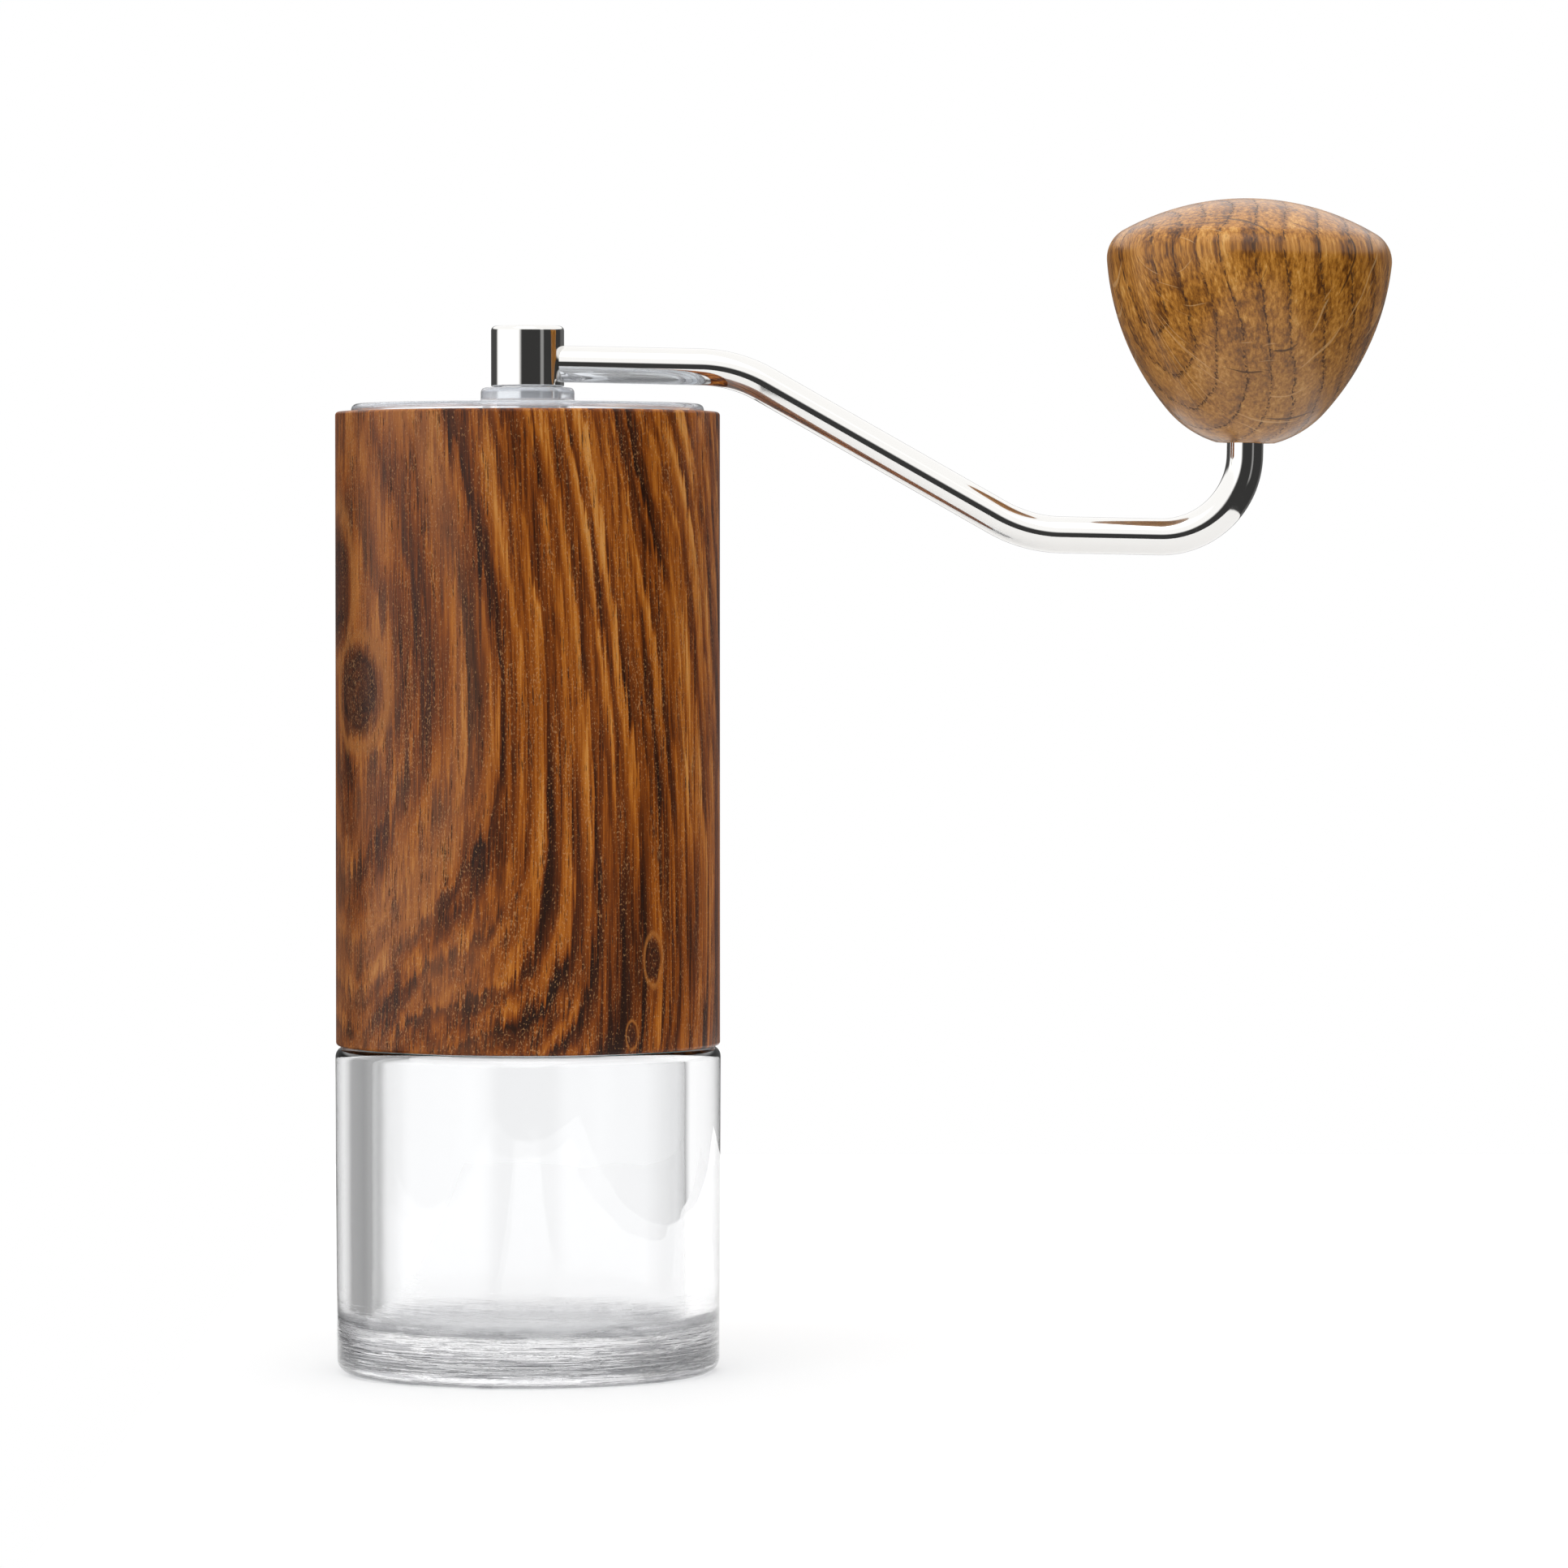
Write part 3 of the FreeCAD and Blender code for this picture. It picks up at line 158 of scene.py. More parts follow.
class Graph:
    """The node graph of one material or of the world."""

    def __init__(self, owner):
        owner.use_nodes = True
        self.tree = owner.node_tree
        self.tree.nodes.clear()

    def node(self, kind, settings=None, inputs=None, output=0):
        """Adds a node, sets it up, feeds its sockets, and gives back one of its outputs."""
        made = self.tree.nodes.new(kind)
        for name, value in (settings or {}).items():
            if name == "stops":
                self.set_stops(made.color_ramp, value)
            else:
                setattr(made, name, value)
        for key, value in (inputs or {}).items():
            if isinstance(value, Term):
                self.tree.links.new(value.socket, made.inputs[key])
            else:
                made.inputs[key].default_value = value
        return Term(self, made.outputs[output]) if len(made.outputs) else made

    @staticmethod
    def set_stops(ramp, stops):
        """Gives a colour ramp its stops, each a place from 0 to 1 and a colour."""
        while len(ramp.elements) < len(stops):
            ramp.elements.new(0.5)
        for element, (place, colour) in zip(ramp.elements, stops):
            element.position = place
            element.color = (*colour, 1.0)

    def millimetres(self):
        """The place on the object, as a vector in millimetres."""
        place = self.node("ShaderNodeTexCoord", output=3)
        return self.node("ShaderNodeVectorMath", {"operation": "SCALE"}, {0: place, "Scale": 1 / MM})

    def along(self, vector, direction):
        """How far a vector goes along a fixed direction."""
        return self.node("ShaderNodeVectorMath", {"operation": "DOT_PRODUCT"},
                         {0: vector, 1: tuple(direction)}, output=1)

    def vector(self, x, y, z):
        return self.node("ShaderNodeCombineXYZ", None, {0: x, 1: y, 2: z})

    def noise(self, vector, scale=1.0, detail=2.0, roughness=0.5, distortion=0.0):
        return self.node("ShaderNodeTexNoise", {"noise_dimensions": "3D"},
                         {"Vector": vector, "Scale": scale, "Detail": detail,
                          "Roughness": roughness, "Distortion": distortion})

    def step(self, value, low, high):
        """Rises smoothly from 0 at low to 1 at high."""
        return self.node("ShaderNodeMapRange", {"interpolation_type": "SMOOTHSTEP"},
                         {0: value, 1: low, 2: high})

    def ramp(self, value, stops):
        return self.node("ShaderNodeValToRGB", {"stops": stops}, {0: value})

    def blend(self, share, first, second):
        """A colour share of the way from the first colour to the second."""
        colours = [c if isinstance(c, Term) else (*c, 1.0) for c in (first, second)]
        return self.node("ShaderNodeMix", {"data_type": "RGBA"},
                         {0: share, 6: colours[0], 7: colours[1]}, output=2)

    def bump(self, height, distance, strength=1.0):
        """Fine relief: height runs from 0 to 1 and stands for distance millimetres."""
        return self.node("ShaderNodeBump", None,
                         {"Height": height, "Distance": distance * MM, "Strength": strength})

    def finish(self, **sockets):
        """Ends a material's graph in one Principled surface."""
        names = {key.replace("_", " "): value for key, value in sockets.items()}
        surface = self.node("ShaderNodeBsdfPrincipled", None, names)
        self.node("ShaderNodeOutputMaterial", None, {"Surface": surface})


def new_material(name):
    material = bpy.data.materials.new(name)
    return material, Graph(material)


print("graphs can now be written as sums")

# %% [markdown]
# ## Turning grids of points into pieces
#
# Most of this grinder was made on a lathe or in a round mould, so most of its surfaces are a
# profile carried round an axis. The profile is a short list of corners, each with its own
# rounding radius, just as a drawing for the lathe would give it. No edge on the real object
# is knife sharp, and it's the small roundings that catch the light.


# %% Rounded profiles
def rounded(corners, closed=True, steps=6):
    """A profile through (radius, height, rounding) corners.

    Each corner with a rounding is replaced by an arc that touches both of its sides: the arc
    starts at a distance of rounding times the tangent of half the turn from the corner.
    """
    points = np.array([corner[:2] for corner in corners], float)
    pieces = []
    for k, (_, _, rounding) in enumerate(corners):
        corner = points[k]
        if rounding == 0 or (not closed and k in (0, len(corners) - 1)):
            pieces.append(corner[None])
            continue
        back = points[k - 1] - corner
        ahead = points[(k + 1) % len(points)] - corner
        back, ahead = back / np.linalg.norm(back), ahead / np.linalg.norm(ahead)
        half_turn = (math.pi - math.acos(np.clip(back @ ahead, -1, 1))) / 2
        inwards = (back + ahead) / np.linalg.norm(back + ahead)
        centre = corner + inwards * rounding / math.cos(half_turn)
        start = corner + back * rounding * math.tan(half_turn) - centre
        side = corner + ahead * rounding * math.tan(half_turn) - centre
        swing = math.atan2(start[0] * side[1] - start[1] * side[0], start @ side)
        turn = np.linspace(0, swing, steps + 1)[:, None]
        quarter = np.array([-start[1], start[0]])
        pieces.append(centre + np.cos(turn) * start + np.sin(turn) * quarter)
    return np.concatenate(pieces)


def refined(profile, longest, closed=True):
    """The same profile with extra points, so that no side is longer than longest."""
    following = np.roll(profile, -1, 0) if closed else profile[1:]
    starts = profile if closed else profile[:-1]
    counts = np.maximum(1, np.ceil(np.linalg.norm(following - starts, axis=1) / longest).astype(int))
    which = np.repeat(np.arange(len(starts)), counts)
    share = (np.arange(counts.sum()) - np.repeat(np.cumsum(counts) - counts, counts)) / counts[which]
    points = starts[which] + (following - starts)[which] * share[:, None]
    return points if closed else np.concatenate([points, profile[-1:]])


print("a square with rounded corners has", len(rounded([(1, 0, .2), (2, 0, .2), (2, 1, .2), (1, 1, .2)])),
      "points")

# %% [markdown]
# A grid of points becomes a mesh by joining each point to its neighbours. Three things need
# care. Columns wrap round, so the last joins the first. Rows may wrap too, when the profile is
# a closed loop like a ring's. And a row that lies on the axis is really one point, so it
# becomes a fan of triangles. A signed volume, summed over all faces, tells us whether the
# faces point outwards: if it is negative, every face is turned over.


# %% From a grid to a finished piece
def faces_of(rows, columns, rows_wrap, wrap=True):
    """Quads between neighbouring points of a grid, numbered row by row."""
    last_row = rows if rows_wrap else rows - 1
    last_column = columns if wrap else columns - 1
    i, j = np.meshgrid(np.arange(last_row), np.arange(last_column), indexing="ij")
    below, beside = (i + 1) % rows, (j + 1) % columns
    quads = np.stack([i * columns + j, i * columns + beside, below * columns + beside,
                      below * columns + j], -1)
    return quads.reshape(-1, 4)


def signed_volume(points, quads):
    """Volume enclosed by quads, from the triple product of each of their two triangles."""
    a, b, c, d = (points[quads[:, k]] for k in range(4))
    return float((np.cross(a, b) * c).sum() + (np.cross(a, c) * d).sum()) / 6


def piece_from_grid(name, grid, body, material, rows_wrap=False, sharp=40.0, replaces=()):
    """Makes a closed piece from a grid of points in millimetres, and lets it ride on a body.

    Rows run along the profile and columns round it. A first or last row whose points all
    coincide is a pole.
    """
    rows, columns, _ = grid.shape
    points = grid.reshape(-1, 3)
    quads = faces_of(rows, columns, rows_wrap)
    if signed_volume(points, quads) < 0:
        quads = quads[:, ::-1]
    if not rows_wrap:
        poles = [np.ptp(grid[0], axis=0).max() < 1e-6, np.ptp(grid[-1], axis=0).max() < 1e-6]
        if not all(poles):
            raise ValueError(name + " is open at an end")
    mesh = bpy.data.meshes.new(name)
    mesh.from_pydata((points * MM).tolist(), [], quads.tolist())
    piece = bpy.data.objects.new(name, mesh)
    bpy.context.scene.collection.objects.link(piece)
    close_poles(mesh)
    mesh.shade_smooth()
    mesh.set_sharp_from_angle(angle=math.radians(sharp))
    mesh.materials.append(material)
    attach(piece, body)
    if replaces:
        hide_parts(*replaces)
    size = np.ptp(points, axis=0)
    print(f"{name}: {len(mesh.polygons)} faces, {size[0]:.1f} x {size[1]:.1f} x {size[2]:.1f} mm")
    return piece


def close_poles(mesh):
    """Welds the points that share a place, which turns a pole's quads into triangles."""
    import bmesh
    work = bmesh.new()
    work.from_mesh(mesh)
    bmesh.ops.remove_doubles(work, verts=work.verts, dist=1e-7)
    work.to_mesh(mesh)
    work.free()
    mesh.update()


def turned(profile, columns=256):
    """Carries a (radius, height) profile round the Z axis: (r cos a, r sin a, z)."""
    angle = np.linspace(0, 2 * math.pi, columns, endpoint=False)
    radius, height = profile[:, 0][:, None], profile[:, 1][:, None]
    return np.stack([radius * np.cos(angle), radius * np.sin(angle),
                     np.broadcast_to(height, (len(profile), columns))], -1)


print("a ring of 4 rows and 8 columns has", len(faces_of(4, 8, True)), "faces")

# %% [markdown]
# ## Wood as a solid
#
# Paint a wood picture onto a cylinder and it looks like wallpaper. Real wood has its figure
# all the way through, because the tree grew it as nested shells, and the lathe only uncovers
# it. So the material works out, for any place inside the block, how far out in the tree that
# place was. The number is called `ring`. Where the lathe's cut runs along a shell, the figure
# is broad and calm; where it cuts across the shells, it becomes dense upright lines. One
# formula gives both, on every side of the sleeve, and on its end faces too.
#
# Knots are where a branch passed through. The shells bend round it, so each knot adds a soft
# hill to `ring`, and the lines flow round the hill.

# %% Where the tree's shells lie in the sleeve
SHELL_SIDE = math.radians(-62)          # seen from the front, the side that the shells face
SHELL_NORMAL = np.array([math.sin(SHELL_SIDE), -math.cos(SHELL_SIDE), 0])
SHELL_ALONG = np.array([math.cos(SHELL_SIDE), math.sin(SHELL_SIDE), 0])
SWELL_NEAR, SWELL_FAR = 104.0, 66.0     # height at which near and far shells swell most
FALL_BELOW = 0.0061                     # how fast they fall away, per square millimetre
FALL_ABOVE = 0.0019


def on_sleeve(degrees, height):
    """A place on the sleeve's outside, by the angle from its front and its height."""
    turn = math.radians(degrees)
    return np.array([radius_of("wood_sleeve") * math.sin(turn),
                     -radius_of("wood_sleeve") * math.cos(turn), height])


# place, width across, height, how far the shells are pushed out
KNOTS = [
    (on_sleeve(-59, 106.5), 7.4, 8.0, 3.6),
    (on_sleeve(-77, 123.0), 7.6, 11.5, 3.0),
    (on_sleeve(42, 65.5), 1.7, 3.6, 1.3),
    (on_sleeve(34, 54.0), 1.0, 2.0, 0.7),
    (on_sleeve(150, 88.0), 4.2, 7.0, 2.8),
]
print("knots at", [np.round(place, 0).tolist() for place, *_ in KNOTS])


# %% [markdown]
# The colour is built in layers, coarse to fine, the way a restorer would paint it: broad warm
# and dark zones, then the dark late-season line of each shell, then fibres, and last the open
# pores, which are short dark dashes, and the tiny light specks between them. All layers share
# the same stretched coordinates, so they all run with the grain.


# %% The figured wood of the sleeve
def knot_distance(g, place, knot):
    """Distance from a knot's middle, 1 at its edge, measured as an upright ellipsoid."""
    middle, across, tall, _ = knot
    offset = g.node("ShaderNodeVectorMath", {"operation": "SUBTRACT"}, {0: place, 1: tuple(middle)})
    squeezed = g.node("ShaderNodeVectorMath", {"operation": "MULTIPLY"},
                      {0: offset, 1: (1 / across, 1 / across, 1 / tall)})
    return g.node("ShaderNodeVectorMath", {"operation": "LENGTH"}, {0: squeezed}, output=1)


def figured_wood():
    material, g = new_material("figured_hardwood")
    place = g.millimetres()
    height = g.along(place, (0, 0, 1))
    outwards = g.along(place, SHELL_NORMAL)
    sideways = g.along(place, SHELL_ALONG)

    near = g.step(outwards, -8.0, 26.0)
    rise = height - near * (SWELL_NEAR - SWELL_FAR) - SWELL_FAR
    above = g.node("ShaderNodeMath", {"operation": "MAXIMUM"}, {0: rise, 1: 0.0})
    below = g.node("ShaderNodeMath", {"operation": "MINIMUM"}, {0: rise, 1: 0.0})
    drift = g.noise(g.vector(outwards, sideways, height * 0.30), 0.05, 1.0) - 0.5
    swell = drift * 7.0 - below * below * FALL_BELOW - above * above * FALL_ABOVE
    nearest = 9.0
    for knot in KNOTS:
        away = knot_distance(g, place, knot)
        swell = swell + knot[3] / (away * away + 0.6)
        nearest = g.node("ShaderNodeMath", {"operation": "MINIMUM"}, {0: away, 1: nearest})

    lean = outwards + swell * 0.16
    fibres = g.noise(g.vector(lean, sideways, height * 0.022), 2.6, 4.0, 0.66) - 0.5
    strands = g.noise(g.vector(lean, sideways, height * 0.05), 0.75, 3.0, 0.6) - 0.5
    ring = outwards + swell + strands * 3.4 + fibres * 1.3
    grain = g.vector(ring, sideways * 0.4, height * 0.03)

    zones = g.noise(grain, 0.16, 2.0, 0.55) - 0.5
    bands = g.noise(grain, 0.62, 2.0, 0.5) - 0.5
    season = g.node("ShaderNodeMath", {"operation": "FRACT"}, {0: ring * 0.27 + zones * 1.2})
    late = g.step(season, 0.25, 0.88) * (1 - g.step(season, 0.90, 1.0))
    calm = g.step(outwards, 13.0, 25.0)
    quiet = 1 - calm * 0.35
    tone = (0.565 + zones * 0.90 + (bands * 1.35 - late * 0.26) * quiet + strands * 0.60
            + fibres * 1.20 + calm * 0.02 + (height - 95.0) * 0.0013)
    colour = g.ramp(tone, [
        (0.05, (0.0190, 0.0050, 0.0012)), (0.26, (0.0700, 0.0155, 0.0018)),
        (0.44, (0.1720, 0.0385, 0.0028)), (0.60, (0.2950, 0.0760, 0.0052)),
        (0.78, (0.4500, 0.1440, 0.0150)), (1.00, (0.6200, 0.2700, 0.0600))])
    # On the side the shells face, which is also the side towards the left light, patches of the colour are
    # lifted and greyed: a painted sheen of that light.
    painted_left_sheen = g.blend(0.5, colour, (0.300, 0.130, 0.060))
    colour = g.blend(calm * g.step(zones, -0.16, 0.10) * 0.65, colour, painted_left_sheen)

    wobble = nearest + strands * 0.5
    heart = 1 - g.step(wobble, 0.60, 1.02)
    rim = g.step(wobble, 0.88, 1.06) * (1 - g.step(wobble, 1.08, 1.34))
    swirl = g.noise(g.vector(wobble * 7.0, sideways * 0.25, height * 0.10), 1.0, 3.0, 0.6)
    heart_colour = g.ramp(swirl, [(0.25, (0.0120, 0.0035, 0.0015)), (0.50, (0.0580, 0.0145, 0.0040)),
                                  (0.80, (0.1750, 0.0470, 0.0100))])
    colour = g.blend(rim * 0.80, colour, (0.36, 0.125, 0.024))
    colour = g.blend(heart, colour, heart_colour)

    dashes = g.noise(g.vector(lean * 5.0, sideways * 5.0, height * 0.30), 1.0, 1.0, 0.4)
    patches = g.noise(g.vector(lean * 0.5, sideways * 0.5, height * 0.06), 1.0, 2.0) - 0.5
    pores = g.step(dashes + patches * 0.40, 0.655, 0.72)
    dots = g.noise(g.vector(lean, sideways, height * 0.55), 4.6, 1.0, 0.5)
    specks = g.step(dots + patches * 0.30 + bands * 0.12, 0.60, 0.72)
    pits = g.step(g.noise(g.vector(lean, sideways, height * 0.6), 5.2, 1.0, 0.5), 0.64, 0.74)
    colour = g.blend(pores * 0.75, colour, (0.0160, 0.0060, 0.0026))
    colour = g.blend(pits * 0.40, colour, (0.0200, 0.0075, 0.0030))
    colour = g.blend(specks * 0.45, colour, (0.56, 0.29, 0.12))

    relief = fibres * 0.6 - pores * 0.8 - pits * 0.3 + specks * 0.15 + 0.5
    g.finish(Base_Color=colour, Roughness=0.33 + fibres * 0.25 + pores * 0.3,
             Normal=g.bump(relief, 0.05), Coat_Weight=0.10, Coat_Roughness=0.28,
             Specular_IOR_Level=0.17)
    return material


sleeve_wood = figured_wood()
print("sleeve wood:", len(sleeve_wood.node_tree.nodes), "nodes")

# %% [markdown]
# The sleeve itself is a plain tube turned on a lathe, with a slight easing where the hand and
# the neighbouring parts meet its edges. Its bore is a close fit on the steel tube inside it,
# so its inner radius comes from that tube.

# %% The wooden sleeve
FIT = 0.05                                # clearance of parts pushed together
sleeve_low, sleeve_high = reach("wood_sleeve")
sleeve_bore = radius_of("liner_tube") + FIT
sleeve_profile = refined(rounded([
    (sleeve_bore, sleeve_low[2], 0.25), (radius_of("wood_sleeve"), sleeve_low[2], 0.50),
    (radius_of("wood_sleeve"), sleeve_high[2], 0.55), (sleeve_bore, sleeve_high[2], 0.30)]), 4.0)
piece_from_grid("turned_sleeve", turned(sleeve_profile, 320), "housing", sleeve_wood,
                rows_wrap=True, replaces=["wood_sleeve"])

# %% [markdown]
# ## Clear glass and clear plastic
#
# Glass has almost no colour of its own. What we see is whatever stands behind it, bent, plus
# the reflections on its two skins. So its quality lies in its wall: an inner and an outer
# surface at their real distance, with smooth roundings between them. Moulded glass is never
# quite flat, and a faint waviness, strongest in the thick floor, makes the light crawl there.


# %% Clear materials
PAINTED_DARK_REFLECTION, CLEAR_BETWEEN_REFLECTIONS = (0.40, 0.40, 0.42), (0.97, 0.97, 0.98)     # painted dark reflections and the clear glass between them, in the jar's foot
FOOT_LOW, FOOT_HIGH = 5.5, 10.5         # heights between which the foot's streaks and painted dark reflections fade out
WAVES_LOW, WAVES_HIGH = 4.0, 16.0       # and between which its level waves fade out


def clear_glass(name, tint, roughness, ripple, waves, clear=1.0):
    """A clear material with a faint waviness that is ripple millimetres deep.

    In the jar's thick foot, level streaks of painted dark reflection and clear glass take turns,
    and the painted dark ones win towards the sides.
    Rays that only ask whether a lamp is in sight pass straight through it, so the floor
    under the glass is lit as it is in a bright room.
    """
    material, g = new_material(name)
    place = g.millimetres()
    height = g.along(place, (0, 0, 1))
    low_down = 1 - g.step(height, WAVES_LOW, WAVES_HIGH)
    thick = 1 - g.step(height, FOOT_LOW, FOOT_HIGH)
    broad = g.noise(place, waves, 2.0, 0.5, 0.6)
    layered = g.noise(g.vector(g.along(place, (1, 0, 0)) * 0.09, g.along(place, (0, 1, 0)) * 0.09,
                               height * 1.3), 1.0, 3.0, 0.6, 1.2)
    streaks = g.noise(g.vector(g.along(place, (1, 0, 0)) * 0.05, g.along(place, (0, 1, 0)) * 0.05,
                               height * 3.6), 1.0, 2.0, 0.6)
    relief = broad * 0.35 + layered * low_down * 0.7 + streaks * thick * 0.7
    sideways = g.node("ShaderNodeMath", {"operation": "ABSOLUTE"}, {0: g.along(place, (1, 0, 0))})
    # Painted dark reflections in the foot: level streaks, with more dark towards the sides.
    lines = g.step(layered + streaks * 0.3 - g.step(sideways, 6.0, 27.0) * 0.13, 0.54, 0.62)
    haze = g.noise(place, waves * 3, 2.0) * roughness
    glass = g.node("ShaderNodeBsdfPrincipled", None, {
        "Base Color": g.blend(thick, tint, g.blend(lines, PAINTED_DARK_REFLECTION, CLEAR_BETWEEN_REFLECTIONS)),
        "Roughness": haze, "IOR": 1.49, "Transmission Weight": clear,
        "Normal": g.bump(relief, ripple)})
    open_air = g.node("ShaderNodeBsdfTransparent", None, {"Color": (*tint, 1.0)})
    shadow = g.node("ShaderNodeLightPath", output=1)
    surface = g.node("ShaderNodeMixShader", None, {0: shadow, 1: glass, 2: open_air})
    g.node("ShaderNodeOutputMaterial", None, {"Surface": surface})
    return material


jar_glass = clear_glass("clear_glass", (0.938, 0.941, 0.946), 0.012, 0.10, 0.05)
lid_plastic = clear_glass("clear_lid_plastic", (0.94, 0.96, 0.992), 0.10, 0.01, 0.10, clear=0.86)
print("clear materials made")

# %% [markdown]
# The jar is thick glass with a heavy floor. Its neck carries a screw thread that hides inside
# the grinder until the jar is turned off. A screw thread is a ridge whose height above the
# neck depends only on how far a point is from a rising helix, so it can simply be added to
# the neck's radius: no separate piece, no seam in the glass.

# %% The jar
JAR_WALL_BORE = 24.5
JAR_FLOOR = 7.2
NECK_RADIUS = 26.0
THREAD_PITCH = 3.0
THREAD_DEPTH = 0.85
THREAD_TURNS = 1.25
THREAD_START = 2.1                        # above the shoulder
shoulder = reach("jar_seal")[0][2] - 0.1
jar_radius = radius_of("jar")
neck_top = reach("jar")[1][2]

jar_profile = refined(rounded([
    (0, 0, 0), (jar_radius - 0.2, 0, 2.2), (jar_radius, shoulder, 1.6), (NECK_RADIUS, shoulder, 0.25),
    (NECK_RADIUS, neck_top, 0.5), (JAR_WALL_BORE, neck_top, 0.5), (JAR_WALL_BORE, JAR_FLOOR, 2.6),
    (0, JAR_FLOOR, 0)], closed=False, steps=10), 0.35, closed=False)
jar_columns = 224
jar_grid = turned(jar_profile, jar_columns)


def thread_height(radius, height, angle):
    """Height of the screw ridge: a trapezoid of the distance to the nearest turn of the helix.

    The helix rises by one pitch per turn. The ridge fades in and out over an eighth of a turn.
    """
    first = shoulder + THREAD_START
    turns = np.round((height - first) / THREAD_PITCH - angle / (2 * math.pi))
    along = turns + angle / (2 * math.pi)
    distance = np.abs(height - first - THREAD_PITCH * along)
    ridge = np.clip((0.8 - distance) / 0.5, 0, 1)
    fade = np.clip(along * 8, 0, 1) * np.clip((THREAD_TURNS - along) * 8, 0, 1)
    on_neck = np.abs(radius - NECK_RADIUS) < 0.01
    return THREAD_DEPTH * ridge * fade * on_neck


jar_angle = np.linspace(0, 2 * math.pi, jar_columns, endpoint=False)[None]
ridge = thread_height(jar_profile[:, 0][:, None], jar_profile[:, 1][:, None], jar_angle)
jar_grid[..., 0] += ridge * np.cos(jar_angle)
jar_grid[..., 1] += ridge * np.sin(jar_angle)
piece_from_grid("glass_jar", jar_grid, "jar", jar_glass, sharp=50, replaces=["jar"])

# %% [markdown]
# The lid is one clear moulding: a gently crowned disc, a collar that the crank's stem turns
# in, and a skirt that reaches down into the tube and holds a soft sealing ring in a groove.
# Again one closed profile carries all of it.

# %% The lid
lid_low, lid_high = reach("lid")
seal_low, seal_high = reach("lid_seal")
LID_BORE = 4.85
LID_COLLAR = 7.3
LID_CROWN = 151.45
LID_RIM = 151.1
LID_FLANGE = 148.55
LID_SKIRT_OUT, LID_SKIRT_IN, LID_SEAL_SEAT = 26.3, 24.2, 25.45
LID_CEILING = 149.1
groove_middle, groove_half = (seal_low[2] + seal_high[2]) / 2, 0.7
lid_radius = radius_of("lid")
lid_profile = refined(rounded([
    (LID_BORE, LID_FLANGE - 0.25, 0.1), (8.2, LID_FLANGE - 0.25, 0.3), (8.6, LID_CEILING, 0.2),
    (LID_SKIRT_IN, LID_CEILING, 0.8), (LID_SKIRT_IN, lid_low[2], 0.3), (LID_SKIRT_OUT, lid_low[2], 0.5),
    (LID_SKIRT_OUT, groove_middle - groove_half, 0.1), (LID_SEAL_SEAT, groove_middle - groove_half, 0.1),
    (LID_SEAL_SEAT, groove_middle + groove_half, 0.1),
    (LID_SKIRT_OUT, groove_middle + groove_half, 0.1),
    (LID_SKIRT_OUT, LID_FLANGE, 0.2), (lid_radius, LID_FLANGE, 0.3), (lid_radius, LID_RIM, 0.9),
    (LID_COLLAR, LID_CROWN, 0.5), (LID_COLLAR, lid_high[2], 0.8), (LID_BORE, lid_high[2], 0.25)],
    steps=8), 1.5)
piece_from_grid("clear_lid", turned(lid_profile), "lid", lid_plastic, rows_wrap=True,
                sharp=50, replaces=["lid"])

# %% [markdown]
# ## Polished steel
#
# A mirror shows its surroundings, so polished steel needs two things: clean, continuous
# curvature, and something to reflect. The surroundings come with the lighting below. The
# surface itself is almost perfect, with the very fine grain that polishing leaves.


# %% Metals
def metal(name, colour, roughness, grain=0.0, grain_scale=6.0, lathe=0.0, wear=0.0):
    """A metal with polishing grain, and turning marks as rings about the Z axis.

    grain and lathe are depths in millimetres. wear is how much the roughness wanders.
    """
    material, g = new_material(name)
    place = g.millimetres()
    x, y, z = (g.along(place, axis) for axis in np.eye(3))
    radius = g.node("ShaderNodeMath", {"operation": "SQRT"}, {0: x * x + y * y})
    marks = g.noise(g.vector(radius * 5.0, z * 5.0, 0.0), 1.0, 3.0, 0.7)
    fine = g.noise(place, grain_scale, 2.0, 0.6)
    cloud = g.noise(place, 0.16, 3.0, 0.6)
    depth = max(grain + lathe, 1e-4)
    relief = fine * (grain / depth) + marks * (lathe / depth)
    shade = g.blend(cloud * wear * 2, tuple(colour), tuple(c * 0.72 for c in colour))
    g.finish(Base_Color=shade, Metallic=1.0, Normal=g.bump(relief, depth),
             Roughness=roughness + (cloud - 0.5) * wear * 0.4 + (marks - 0.5) * lathe * 4)
    return material


polished = metal("polished_steel", (0.80, 0.79, 0.77), 0.055, grain=0.0006, grain_scale=7.0, wear=0.04)
print("polished steel made")

# %% [markdown]
# The crank is one round bar, bent three times. Its centre line is made of straight runs and
# arcs, worked out in the arm's own flat frame, which droops a little from level. The bar's
# surface is then a circle carried along that line. Because the line lies in one plane, the
# circle's two directions are easy: one is across the plane, the other lies in it, square to
# the line.

# %% The crank arm's centre line
DROOP = math.radians(1.2)
ARM_HEIGHT = 157.5
ARM_RADIUS = 2.85
KNOB_REACH, KNOB_DROP = 112.2, 10.7
ARM_CORNERS = [(-1.9, 0, 0), (32.35, 0, 21.0), (78.45, -25.0, 21.0), (KNOB_REACH, -25.0, 13.0),
               (KNOB_REACH, 13.0, 0)]


def arm_frame(points):
    """Takes (across, up) points of the arm's plane into the object's frame, drooped about Y."""
    across, up = points[..., 0], points[..., 1]
    return np.stack([across * math.cos(DROOP) + up * math.sin(DROOP), np.zeros_like(across),
                     ARM_HEIGHT - across * math.sin(DROOP) + up * math.cos(DROOP)], -1)


arm_line = refined(rounded(ARM_CORNERS, closed=False, steps=40), 1.5, closed=False)
arm_length = np.linalg.norm(np.diff(arm_line, axis=0), axis=1).sum()
print("the crank bar is", round(float(arm_length), 1), "mm long")


